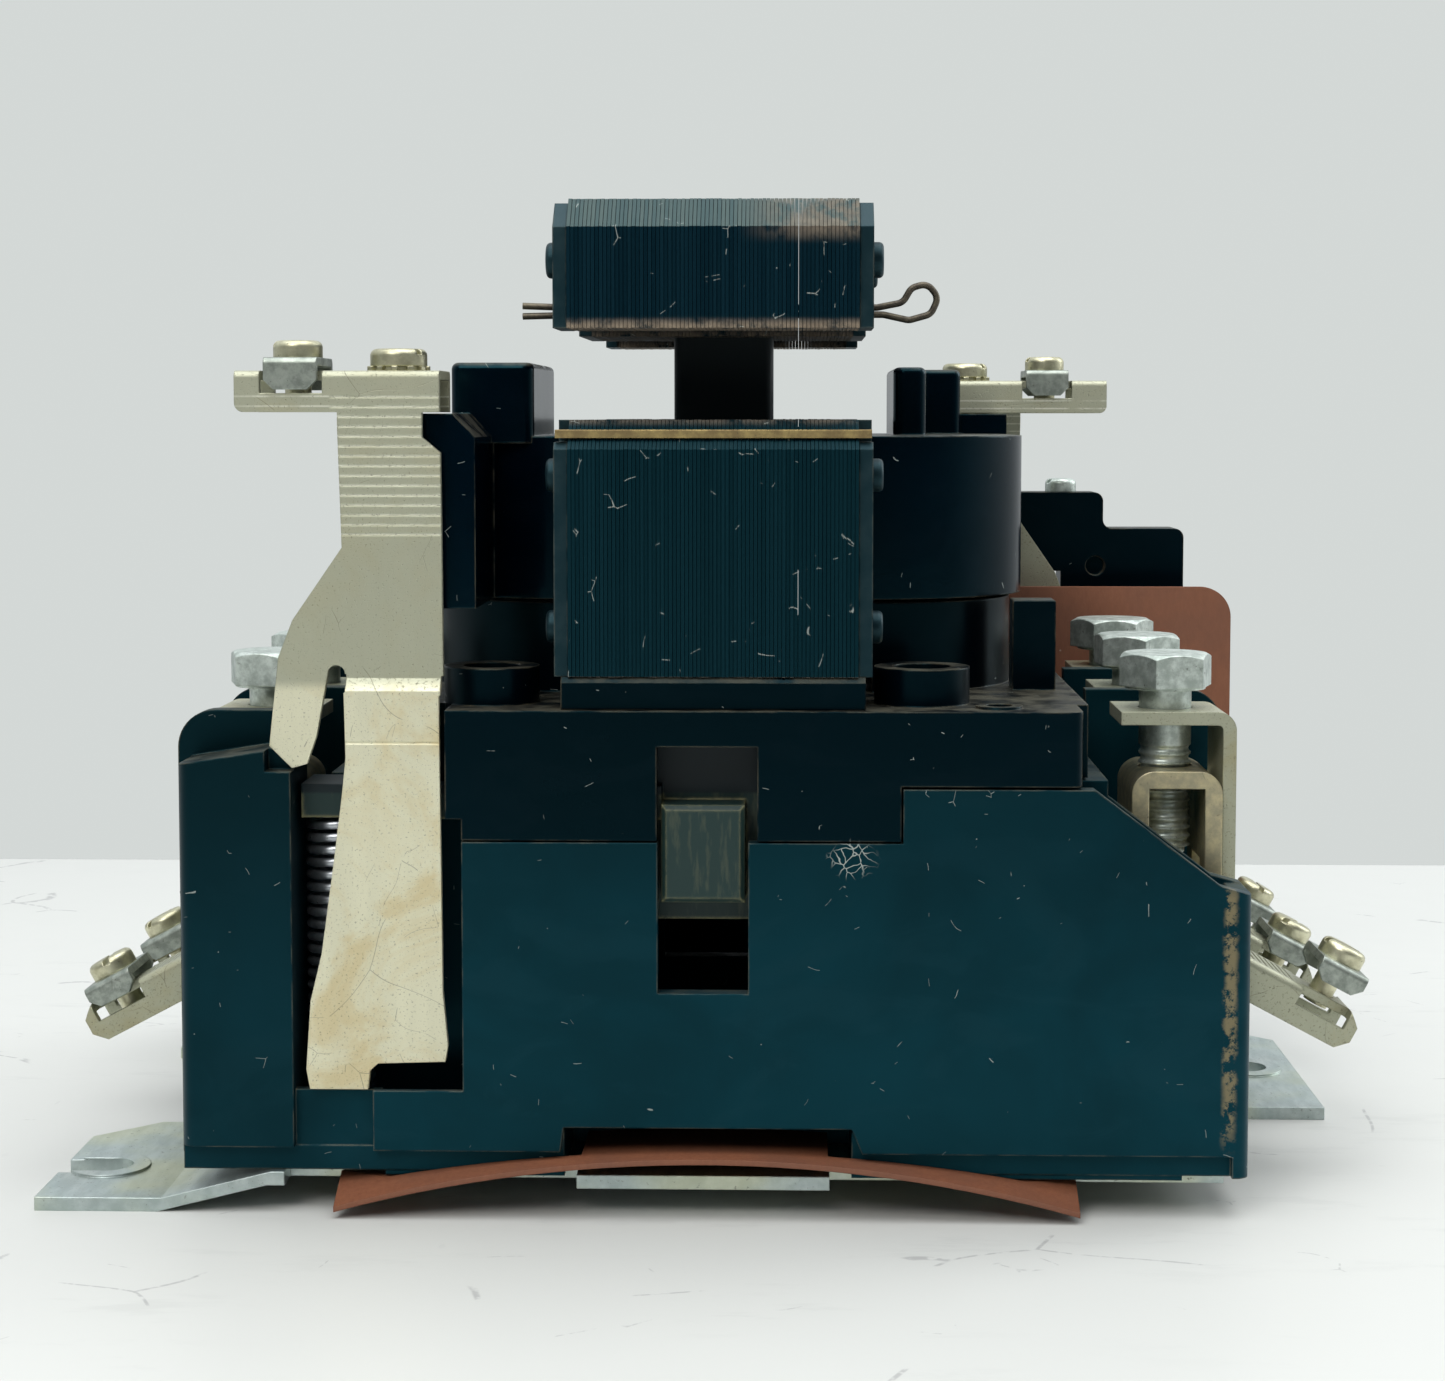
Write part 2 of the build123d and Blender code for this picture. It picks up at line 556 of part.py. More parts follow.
lip_height = 5.9
notch_half = 4.5
slot_x = -53.95          # round top of the gap between the strap's two legs
slot_z = 78.2
slot_r = 1.25
upper_strap = [(-53.5, bar_top - 2), (-53.5, 113.7), (-53.0, 96.3), (-60.2, 85.9), (-62.3, 80.5),
               (-63.7, 67.8), (-60.5, 64.6), (-58.3, 65.2), (-56.9, 69.2), (slot_x - slot_r, slot_z),
               (slot_x + slot_r, slot_z), (-38.6, 77.9), (-38.7, 99.9), (-38.8, 109.8),
               (-41.4, 112.0), (-41.4, bar_top - 2)]
lower_strap = [(-52.7, 75.6), (-52.5, 66.3), (-53.1, 60.7), (-54.4, 50.8), (-56.2, 38.0),
               (-57.9, 31.0), (-58.6, 21.1), (-58.1, 18.2), (-49.7, 18.2), (-49.4, 20.9),
               (-48.2, 22.0), (-38.5, 22.3), (-38.1, 24.6), (-38.8, 32.4), (-39.1, 75.6)]
jog = [(upper_face, 78.4), (upper_face, 77.6), (-body_half_y, 75.9), (-body_half_y, 75.2),
       (-body_half_y + strap_sheet, 75.2), (upper_face + strap_sheet, 77.2),
       (upper_face + strap_sheet, 78.4)]


def coil_strap(screw_x, clamp_x):
    """A coil terminal at the line end: a channel on top, and a strap that steps down to the side."""
    with BuildPart() as strap:
        # channel: a top plate with a lip down each side
        block(-bar_end, -38.9, upper_face, bar_far, bar_top - strap_sheet, bar_top)
        for y in (upper_face, bar_far - strap_sheet):
            block(-bar_end, -38.9, y, y + strap_sheet, bar_top - lip_height, bar_top)
        lip_corners = strap.edges().filter_by(Axis.Y).filter_by(
            lambda e: e.center().X < 0.1 - bar_end and e.center().Z < bar_top - lip_height + 0.1)
        fillet(lip_corners, 1.3)
        outer_edges = strap.edges().filter_by(Axis.X).filter_by(lambda e: e.center().Z > bar_top - 0.01)
        fillet(outer_edges, 1.0)
        plate_xz(upper_strap, upper_face, upper_face + strap_sheet)
        plate_yz(jog, -52.5, -38.9)
        plate_xz(lower_strap, -body_half_y, -body_half_y + strap_sheet)
        with Locations(Location((slot_x, upper_face, slot_z), (90, 0, 0))):
            Cylinder(slot_r, 4, mode=Mode.SUBTRACT)
        # notches that the saddle clamp's legs drop into
        for y0, y1 in ((upper_face - 1, upper_face + 3.0), (bar_far - 3.0, bar_far + 1)):
            block(-clamp_x - notch_half, -clamp_x + notch_half, y0, y1, bar_top - 3.2, bar_top + 2,
                  Mode.SUBTRACT)
        # coined lines across the strap and a line across the lower leg
        for i in range(15):
            z = 98.2 + 1.4 * i
            block(-54.5, -38.0, upper_face - 1, upper_face + 0.12, z - 0.15, z + 0.15, Mode.SUBTRACT)
        block(-53.0, -38.0, -body_half_y - 1, -body_half_y + 0.12, 68.3, 68.6, Mode.SUBTRACT)
        for x in (-clamp_x, -screw_x):
            rod(x, bar_mid, 110, 125, small_screw_r + 0.2, Mode.SUBTRACT)
    return strap.part


with BuildPart() as left_coil_strap:
    add(coil_strap(line_screw_x, line_clamp_x))
save(left_coil_strap, "left_coil_strap")

with BuildPart() as right_coil_strap:
    add(half_turn(coil_strap(load_screw_x, load_clamp_x)))
save(right_coil_strap, "right_coil_strap")


def binding_screw(x, y, z, radius, tip, slot_turn):
    """A round-head slotted screw that stands upright with its head's underside at z."""
    with BuildPart() as screw:
        rod(x, y, z, z + 2.5, radius)
        crown = screw.edges().filter_by(GeomType.CIRCLE).sort_by(Axis.Z)[-1]
        fillet(crown, 1.0)
        rod(x, y, tip, z, small_screw_r)
        with Locations(Location((x, y, z + 2.4), (0, 0, slot_turn))):
            Box(2 * radius + 1, 1.0, 1.6, mode=Mode.SUBTRACT)
    return screw.part


def saddle(x, y, z, long_x, long_y, drop):
    """A saddle clamp: a small plate whose ends turn down and straddle the bar."""
    with BuildPart() as clamp:
        block(x - long_x / 2, x + long_x / 2, y - long_y / 2, y + long_y / 2, z - 1.2, z)
        for side in (-1, 1):
            y0, y1 = sorted((y + side * long_y / 2, y + side * (long_y / 2 - 1.2)))
            block(x - long_x / 2, x + long_x / 2, y0, y1, z - drop, z)
        lower = clamp.edges().filter_by(Axis.Y).group_by(Axis.Z)[0]
        chamfer(lower, 1.4)
        bends = clamp.edges().filter_by(Axis.X).group_by(Axis.Z)[-1]
        fillet(bends, 0.9)
        rod(x, y, z - 3, z + 1, small_screw_r + 0.2, Mode.SUBTRACT)
    return clamp.part


clamp_top = bar_top + 1.9
with BuildPart() as coil_saddles:
    add(saddle(-line_clamp_x, bar_mid, clamp_top, 7.6, bar_width + 1.2, 4.6))
    add(half_turn(saddle(-load_clamp_x, bar_mid, clamp_top, 7.6, bar_width + 1.2, 4.6)))
save(coil_saddles, "coil_saddles")

with BuildPart() as coil_clamp_screws:
    add(binding_screw(-line_clamp_x, bar_mid, clamp_top, 3.55, 116.2, 20))
    add(half_turn(binding_screw(-load_clamp_x, bar_mid, clamp_top, 3.55, 116.2, 20)))
save(coil_clamp_screws, "coil_clamp_screws")

washer_top = bar_top + 0.7
with BuildPart() as coil_strap_screws:
    add(binding_screw(-line_screw_x, bar_mid, washer_top, 4.1, 107.0, -35))
    add(half_turn(binding_screw(-load_screw_x, bar_mid, washer_top, 4.1, 107.0, -35)))
save(coil_strap_screws, "coil_strap_screws")

with BuildPart() as coil_lock_washers:
    for x, y in ((-line_screw_x, bar_mid), (load_screw_x, -bar_mid)):
        rod(x, y, bar_top, washer_top, 3.7)
        with Locations((x, y, (bar_top + washer_top) / 2)):
            with PolarLocations(3.8, 12):
                Box(1.4, 0.9, washer_top - bar_top)
        rod(x, y, bar_top - 1, washer_top + 1, small_screw_r + 0.15, Mode.SUBTRACT)
save(coil_lock_washers, "coil_lock_washers")


# =====================================================================================
# Power terminals: strip, wire collar and hex screw, three at each end
# =====================================================================================
strip_inner = tip_x - tip_size / 2 - 1
terminal_path = [(60.4, terminal_top), (leg_outer, terminal_top), (leg_outer, strip_z),
                 (strip_inner, strip_z)]
strip_half = 7.6

with BuildPart() as load_terminals:
    with BuildSketch(Plane.XZ):
        with BuildLine():
            FilletPolyline(*terminal_path, radius=sheet + 0.8)
            offset(amount=sheet, side=Side.RIGHT)
        make_face()
    extrude(amount=strip_half, both=True)
    rod(hex_x, 0, 60, 75, hex_shank_r + 0.2, Mode.SUBTRACT)
    block(leg_outer - 4, leg_outer + 2, -4.3, 4.3, collar_bottom + collar_sheet, hex_tip_z - 0.4, Mode.SUBTRACT)
    one_terminal = load_terminals.part
with BuildPart() as load_terminals:
    for y in poles:
        add(one_terminal.moved(Location((0, y, 0))))
save(load_terminals, "load_terminals")

with BuildPart() as line_terminals:
    add(half_turn(load_terminals.part))
save(line_terminals, "line_terminals")

with BuildPart() as one_collar:
    with BuildSketch(Plane.XZ.offset(collar_y / 2)):
        with Locations(((collar_inner + collar_outer) / 2, (collar_bottom + collar_top) / 2)):
            Rectangle(collar_outer - collar_inner, collar_top - collar_bottom)
    extrude(amount=-collar_y)
    long_edges = one_collar.edges().filter_by(Axis.Y)
    fillet(long_edges.group_by(Axis.Z)[-1], 3.4)
    fillet(one_collar.edges().filter_by(Axis.Y).group_by(Axis.Z)[0], 1.6)
    block(collar_inner + collar_sheet, collar_outer - collar_sheet, -20, 20,
          collar_bottom + collar_sheet, collar_top - collar_sheet, Mode.SUBTRACT)
    rod(hex_x, 0, 50, 70, hex_shank_r + 0.1, Mode.SUBTRACT)
    block(50, 90, -4.3, 4.3, collar_bottom + collar_sheet, hex_tip_z - 0.4, Mode.SUBTRACT)

with BuildPart() as wire_collars:
    for y in poles:
        add(one_collar.part.moved(Location((0, y, 0))))
    add(half_turn(wire_collars.part))
save(wire_collars, "wire_collars")

with BuildPart() as one_hex:
    with BuildSketch(Plane.XY.offset(hex_head_z)):
        RegularPolygon(hex_flats / 2, 6, major_radius=False, rotation=12)
    extrude(amount=hex_head)
    with Locations((0, 0, hex_head_z + hex_head / 2)):
        Cone(hex_flats / 2 - 0.2 + hex_head * tan(radians(60)), hex_flats / 2 - 0.2, hex_head,
             mode=Mode.INTERSECT)
    rod(0, 0, hex_head_z - 0.4, hex_head_z, hex_flats / 2 - 0.3)
    rod(0, 0, hex_tip_z + 1, hex_head_z, hex_shank_r)
    rod(0, 0, hex_tip_z, hex_tip_z + 1, hex_shank_r - 0.8)
    threads = int((66.0 - hex_tip_z - 1) / hex_pitch)
    for i in range(threads):
        z = hex_tip_z + 1 + i * hex_pitch
        with Locations((0, 0, z + hex_pitch / 2)):
            Torus(hex_shank_r + 0.25, 0.62, mode=Mode.SUBTRACT)

with BuildPart() as hex_clamp_screws:
    for x in (-hex_x, hex_x):
        for i, y in enumerate(poles):
            turn = 23 * i + (35 if x < 0 else 0)
            add(one_hex.part.moved(Location((x, y, 0), (0, 0, turn))))
save(hex_clamp_screws, "hex_clamp_screws")

tip_top = strip_z + sheet + tip_height
with BuildPart() as fixed_contact_tips:
    for y in poles:
        for side in (-1, 1):
            block(side * tip_x - tip_size / 2, side * tip_x + tip_size / 2, y - tip_size / 2,
                  y + tip_size / 2, strip_z + sheet, tip_top)
    fillet(fixed_contact_tips.faces().filter_by(Axis.Z).group_by(Axis.Z)[-1].edges(), 0.6)
save(fixed_contact_tips, "fixed_contact_tips")


# =====================================================================================
# Sloped control terminals, three at each end
# =====================================================================================
channel_high = 6.0
channel_tip = 15.4
channel_root = -6.0
tongue_root = -14.0
channel_width = 12.4
clamp_u = 9.5            # the clamp screw, along the slope from the terminal's datum

with BuildPart() as one_control:
    block(channel_root, channel_tip, -channel_width / 2, channel_width / 2, 0, channel_high)
    nose = one_control.edges().filter_by(Axis.Y).group_by(Axis.X)[-1]
    chamfer(nose, 1.8)
    roof = one_control.edges().filter_by(Axis.X).group_by(Axis.Z)[-1]
    fillet(roof, 1.1)
    block(channel_root + 1.3, channel_tip + 5, -channel_width / 2 + 1.3, channel_width / 2 - 1.3,
          -1, channel_high - 1.4, Mode.SUBTRACT)
    block(tongue_root, channel_root + 2, -4.5, 4.5, 0.1, 1.9)
    for side in (-1, 1):
        y0, y1 = sorted((side * (channel_width / 2 - 2.9), side * (channel_width / 2 + 1)))
        block(clamp_u - 4.1, clamp_u + 4.1, y0, y1, channel_high - 2.9, channel_high + 1, Mode.SUBTRACT)
    rod(clamp_u, 0, -2, 8, small_screw_r + 0.2, Mode.SUBTRACT)
    for i in range(8):
        groove_u = -4.0 + 1.1 * i
        block(groove_u - 0.2, groove_u + 0.2, -4.5, 4.5, channel_high - 0.25, channel_high + 1,
              Mode.SUBTRACT)


def on_slope(shape, y):
    """Put a piece modelled on level ground on the sloped seat of one pole."""
    tilt = Location((control_x, y, control_z), (0, control_slope, 0))
    return shape.moved(tilt)


with BuildPart() as control_terminals:
    for y in poles:
        add(on_slope(one_control.part, y))
    add(half_turn(control_terminals.part))
save(control_terminals, "control_terminals")

raised = 4.4
tight = 1.2
lift = {poles[0]: raised, poles[1]: tight, poles[2]: tight}
with BuildPart() as control_saddles:
    for y in poles:
        clamp = saddle(clamp_u, 0, channel_high + 1.2 + lift[y], 7.6, channel_width + 1.0, 3.4)
        add(on_slope(clamp, y))
    add(half_turn(control_saddles.part))
save(control_saddles, "control_saddles")

with BuildPart() as control_screws:
    for i, y in enumerate(poles):
        head = channel_high + 1.2 + lift[y]
        screw = binding_screw(clamp_u, 0, head, 3.55, head - 7.6, 15 + 40 * i)
        add(on_slope(screw, y))
    add(half_turn(control_screws.part))
save(control_screws, "control_screws")


# =====================================================================================
# Moving armature and contact carrier
# =====================================================================================
armature_bottom = core_top + magnet_gap
with BuildPart() as armature:
    plate_yz(magnet_outline(flip=True), -inner_half, inner_half)
    block(-stem_x / 2 - 0.1, stem_x / 2 + 0.1, -stem_y / 2 - 0.1, stem_y / 2 + 0.1,
          armature_bottom - 1, 141.2, Mode.SUBTRACT)
    with Locations(Location((0, 0, cotter_z), (0, 90, 0))):
        Cylinder(1.5, 100, mode=Mode.SUBTRACT)
save(armature, "armature")

with BuildPart() as armature_side_plates:
    for side in (-1, 1):
        plate_yz(magnet_outline(flip=True, grow=0.6), side * inner_half, side * stack_half_x)
    with Locations(Location((0, 0, cotter_z), (0, 90, 0))):
        Cylinder(1.5, 100, mode=Mode.SUBTRACT)
save(armature_side_plates, "armature_side_plates")

with BuildPart() as armature_rivets:
    for y in (-52.0, -22.0, 22.0, 52.0):
        for side in (-1, 1):
            with Locations(Plane(origin=(side * (stack_half_x + 0.8), y, 137.5), z_dir=(side, 0, 0))):
                Cylinder(2.6, 1.6)
    dome = armature_rivets.edges().filter_by(GeomType.CIRCLE).filter_by(
        lambda e: abs(abs(e.center().X) - stack_half_x - 1.6) < 0.01)
    fillet(dome, 0.7)
save(armature_rivets, "armature_rivets")

wire_offset = cotter_wire / 2 + 0.03
prong_x = -33.2
pin_half = 24.5
# the wire's route as X and the height above the pin's axis: prong, shank, eye, shank, prong
cotter_route = [(prong_x, -0.8), (-pin_half, -wire_offset), (pin_half + 1.5, -wire_offset),
                (30.2, -1.5), (33.8, -0.5), (35.0, 2.2), (33.2, 4.5), (30.6, 3.8), (29.2, 1.4),
                (pin_half + 0.5, wire_offset), (-pin_half, wire_offset), (prong_x, 0.9)]
with BuildPart() as cotter_pin:
    with BuildLine() as wire_path:
        FilletPolyline(*[(x, 0, cotter_z + rise) for x, rise in cotter_route], radius=1.9)
    with BuildSketch(Plane(origin=wire_path.line @ 0, z_dir=wire_path.line % 0)):
        Circle(cotter_wire / 2)
    sweep(path=wire_path.line)
save(cotter_pin, "cotter_pin")

bridge_rest = tip_top + stroke + tip_height + 0.4
window_ceiling = bridge_rest + bridge_thickness + overtravel + 5.5
crossbar_top = window_ceiling + 2.4
bridge_window = bridge_y + 4.0
spring_x = -55.2
spring_y = -52.5
spring_r = 4.3
spring_wire = 1.3
arm_bottom = 56.9
arm_top = 61.8

with BuildPart() as contact_carrier:
    block(-crossbar_x / 2, crossbar_x / 2, -56.0, 56.0, crossbar_bottom, crossbar_top)
    block(-stem_x / 2, stem_x / 2, -stem_y / 2, stem_y / 2, crossbar_top - 1, 141.0)
    for sign in (1, -1):
        block(sign * tab_left, sign * tab_right, -sign * (body_half_y - 0.8), -sign * 55.5,
              tab_bottom, tab_top)
        block(sign * -50.0, sign * (-crossbar_x / 2 + 1), -sign * 58.6, -sign * 54.3, arm_bottom, arm_top)
        block(sign * (recess_left + 0.6), sign * -49.6, -sign * 57.7, -sign * 47.3, arm_bottom, arm_top)
    fillet(contact_carrier.edges().filter_by(Axis.Z).filter_by(
        lambda e: e.center().Z > 90), 1.2)
    for y in poles:
        block(-20, 20, y - bridge_window / 2, y + bridge_window / 2, bridge_rest, window_ceiling,
              Mode.SUBTRACT)
    with Locations(Location((0, 0, cotter_z), (0, 90, 0))):
        Cylinder(1.5, 40, mode=Mode.SUBTRACT)
    tab_rim = contact_carrier.faces().sort_by(Axis.Y)[0].edges()
    chamfer(tab_rim, 0.7)
save(contact_carrier, "contact_carrier")


def coil_spring(x, y, z0, z1, radius, wire, turns):
    """A compression spring standing between two heights."""
    rise = z1 - z0 - wire
    pitch = rise / turns
    with BuildPart() as spring:
        with BuildLine() as line:
            Helix(pitch, rise, radius, center=(x, y, z0 + wire / 2))
        with BuildSketch(Plane(origin=line.line @ 0, z_dir=line.line % 0)):
            Circle(wire / 2)
        sweep()
    return spring.part


with BuildPart() as near_return_spring:
    add(coil_spring(spring_x, spring_y, 9.7, arm_bottom - 0.1, spring_r, spring_wire, 25))
save(near_return_spring, "near_return_spring")

with BuildPart() as far_return_spring:
    add(half_turn(near_return_spring.part))
save(far_return_spring, "far_return_spring")

names = ("near", "middle", "far")
for name, y in zip(names, poles):
    with BuildPart() as bridge:
        block(-tip_x - 5, tip_x + 5, y - bridge_y / 2, y + bridge_y / 2, bridge_rest + 0.05,
              bridge_rest + 0.05 + bridge_thickness)
        chamfer(bridge.edges().filter_by(Axis.Z), 2.0)
        rod(0, y, bridge_rest + 1, bridge_rest + bridge_thickness + 1.4, 2.4)
    save(bridge, f"{name}_contact_bridge")
    with BuildPart() as tips:
        for side in (-1, 1):
            block(side * tip_x - tip_size / 2, side * tip_x + tip_size / 2, y - tip_size / 2,
                  y + tip_size / 2, bridge_rest + 0.05 - tip_height, bridge_rest + 0.05)
        fillet(tips.faces().filter_by(Axis.Z).group_by(Axis.Z)[0].edges(), 0.6)
    save(tips, f"{name}_bridge_tips")
    with BuildPart() as contact_spring:
        add(coil_spring(0, y, bridge_rest + bridge_thickness + 0.15, window_ceiling - 0.1, 4.2, 1.0, 3.5))
    save(contact_spring, f"{name}_contact_spring")


# =====================================================================================
# Fibre barrier and auxiliary contact block on the far side
# =====================================================================================
fibre_top = 84.0
fibre_sheet = 1.2
fibre_y = barriers[-1] - wall / 2 - fit_gap
fibre_outline = [(61.5, 36.0), (91.0, 36.0), (91.0, fibre_top), (41.5, fibre_top),
                 (41.5, cover_top + 0.5), (chamber_x + 0.6, cover_top + 0.5),
                 (chamber_x + 0.6, 64.5), (61.5, 64.5)]
with BuildPart() as fibre_barrier:
    plate_xz(fibre_outline, fibre_y - fibre_sheet, fibre_y)
    top_corner = fibre_barrier.edges().filter_by(Axis.Y).filter_by(
        lambda e: e.center().X > 90 and e.center().Z > 80)
    fillet(top_corner, 5.5)
save(fibre_barrier, "fibre_barrier")

block_near = body_half_y + 0.6
block_far = block_near + 9.0
block_mid = (block_near + block_far) / 2
block_outline = [(61.5, 40.0), (84.5, 40.0), (84.5, 94.0), (69.4, 94.0), (69.4, 100.8),
                 (40.0, 100.8), (40.0, 86.0), (61.5, 86.0)]
fixing_places = [(69.0, 46.0), (69.0, 58.0)]
with BuildPart() as auxiliary_block:
    plate_xz(block_outline, block_near, block_far)
    steps = auxiliary_block.edges().filter_by(Axis.Y).filter_by(
        lambda e: e.center().Z > 93 and e.center().X > 60)
    fillet(steps, 1.7)
    block(63.0, 75.0, body_half_y, block_near, 42.0, 62.0)
    for x, z in fixing_places:
        with Locations(Location((x, block_mid, z), (90, 0, 0))):
            Cylinder(1.8, 20, mode=Mode.SUBTRACT)
    with Locations(Location((68.0, block_near, 87.0), (90, 0, 0))):
        Cylinder(1.8, 3, mode=Mode.SUBTRACT)
    rod(61.8, block_mid, 90, 110, small_screw_r + 0.1, Mode.SUBTRACT)
save(auxiliary_block, "auxiliary_block")

with BuildPart() as auxiliary_screw:
    add(binding_screw(61.8, block_mid, 100.8, 2.9, 92.0, 30))
save(auxiliary_screw, "auxiliary_screw")

with BuildPart() as auxiliary_fixings:
    for x, z in fixing_places:
        with Locations(Location((x, block_far + 1.1, z), (90, 0, 0))):
            Cylinder(3.4, 2.2)
        with Locations(Location((x, block_far - 5.5, z), (90, 0, 0))):
            Cylinder(1.6, 11.0)
        with Locations((x, block_far + 2.2, z)):
            Box(8, 1.6, 0.9, mode=Mode.SUBTRACT)
save(auxiliary_fixings, "auxiliary_fixings")
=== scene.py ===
# %% [markdown]
# # An open three-pole contactor, dressed for its portrait
#
# The imported model already holds every piece at its real size and place. This notebook
# loads it, lays out the table, the light and the camera, and then works through the
# finishes one by one: dusty black moulding, varnished sheet steel, yellowed plating, zinc,
# fibre board and copper. Two pieces are rebuilt here, because a stack of thin sheets can't
# be shown by a solid block: the magnet core and the armature. The springs are copied onto
# the bodies they ride with.

# %% Load the frame
import json
import math
import random

import bmesh
import bpy
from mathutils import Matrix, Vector


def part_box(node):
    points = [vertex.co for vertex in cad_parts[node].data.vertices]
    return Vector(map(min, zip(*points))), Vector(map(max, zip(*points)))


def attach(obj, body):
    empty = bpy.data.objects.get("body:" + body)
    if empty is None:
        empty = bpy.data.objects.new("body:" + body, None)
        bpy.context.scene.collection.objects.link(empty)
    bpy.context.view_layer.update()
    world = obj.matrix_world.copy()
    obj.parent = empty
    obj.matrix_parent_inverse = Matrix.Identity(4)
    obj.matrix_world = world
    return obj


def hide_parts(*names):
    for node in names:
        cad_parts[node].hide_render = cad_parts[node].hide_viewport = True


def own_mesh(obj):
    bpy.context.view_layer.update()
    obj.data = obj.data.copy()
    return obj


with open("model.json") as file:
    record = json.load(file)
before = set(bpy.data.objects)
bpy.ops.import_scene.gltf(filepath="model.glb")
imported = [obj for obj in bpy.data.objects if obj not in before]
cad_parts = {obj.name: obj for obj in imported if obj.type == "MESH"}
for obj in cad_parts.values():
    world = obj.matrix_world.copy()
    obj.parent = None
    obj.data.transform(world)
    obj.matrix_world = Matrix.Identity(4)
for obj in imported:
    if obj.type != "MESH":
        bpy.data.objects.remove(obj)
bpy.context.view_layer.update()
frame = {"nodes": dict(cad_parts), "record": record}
nodes = frame["nodes"]
MM = 0.001

# %% [markdown]
# ## Camera
#
# The lens is a little long and stands level with the top of the coil, so the heights read
# true and the depth stays calm. The picture plane is nearly upright: part of the downward
# look comes from shifting the lens, and the rest from tipping the camera.

# %% Camera
scene = bpy.context.scene
frame_width = 1445.0
focal_px = 2687.0
eye = Vector((12.1, -443.0, 114.9)) * MM
centre_offset = (-75.5, 273.5)
shift = -0.06
camera_data = bpy.data.cameras.new("camera")
camera_data.sensor_width = 36.0
camera_data.lens = 36.0 * focal_px / frame_width
camera_data.shift_y = shift
camera = bpy.data.objects.new("camera", camera_data)
scene.collection.objects.link(camera)
yaw = math.atan2(centre_offset[0], focal_px)
pitch = math.atan2(centre_offset[1] + shift * frame_width, focal_px)
camera.location = eye
camera.rotation_euler = (math.pi / 2 - pitch, 0.0, -yaw)
scene.camera = camera
print("lens", round(camera_data.lens, 1), "mm, tipped down", round(math.degrees(pitch), 1), "degrees")

# %% [markdown]
# ## Writing node trees as sums
#
# Node trees are easier to read as arithmetic. A `Signal` wraps a value socket, so
# `1 - mask` or `bumps * 0.2` adds the Math nodes by itself. `Tree` makes any other node
# from its type, its settings and its sockets. Colours go through Mix nodes, because a Math
# node would turn them grey. `Finish` is the tree of one material, with the patterns that
# several finishes share: clouds, specks, hairs and edge masks, which mark worn edges and,
# on the mouldings, partly a painted edge highlight.


# %% Signal and Finish
class Signal:
    """A value socket that can be used in sums."""

    def __init__(self, tree, socket):
        self.tree = tree
        self.socket = socket

    def maths(self, operation, *others, clamp=False):
        settings = {"operation": operation, "use_clamp": clamp}
        made = self.tree.node("Math", settings, dict(enumerate((self, *others))))
        return Signal(self.tree, made.outputs["Value"])

    def __add__(self, other):
        return self.maths("ADD", other)

    def __mul__(self, other):
        return self.maths("MULTIPLY", other)

    def __sub__(self, other):
        return self.maths("SUBTRACT", other)

    def __rsub__(self, other):
        flipped = self.tree.node("Math", {"operation": "SUBTRACT"}, {0: other, 1: self})
        return Signal(self.tree, flipped.outputs["Value"])

    def __truediv__(self, other):
        return self.maths("DIVIDE", other)

    def __pow__(self, other):
        return self.maths("POWER", other)

    __radd__ = __add__
    __rmul__ = __mul__

    def above(self, level, softness):
        """0 below a level and 1 above it, with a soft step of that width."""
        ranged = self.tree.node(
            "MapRange",
            {"interpolation_type": "SMOOTHSTEP"},
            {"Value": self, "From Min": level - softness / 2, "From Max": level + softness / 2},
        )
        return Signal(self.tree, ranged.outputs["Result"])

    def below(self, level, softness):
        return 1 - self.above(level, softness)

    def clamped(self):
        return self.maths("ADD", 0.0, clamp=True)


class Tree:
    """A node tree, and the one way that nodes are added to it."""

    def __init__(self, owner):
        owner.use_nodes = True
        self.nodes = owner.node_tree.nodes
        self.links = owner.node_tree.links

    def node(self, kind, settings=None, sockets=None):
        """Any shader node: its type, its settings, then the values or links of its sockets."""
        made = self.nodes.new("ShaderNode" + kind)
        for key, value in (settings or {}).items():
            setattr(made, key, value)
        for key, value in (sockets or {}).items():
            self.feed(made.inputs[key], value)
        return made

    def feed(self, socket, value):
        """Link or set one socket."""
        if isinstance(value, Signal):
            value = value.socket
        if isinstance(value, bpy.types.NodeSocket):
            self.links.new(value, socket)
        else:
            socket.default_value = value

    def axis(self, vector, letter):
        """One coordinate of a vector."""
        split = self.node("SeparateXYZ", None, {"Vector": vector})
        return Signal(self, split.outputs[letter])


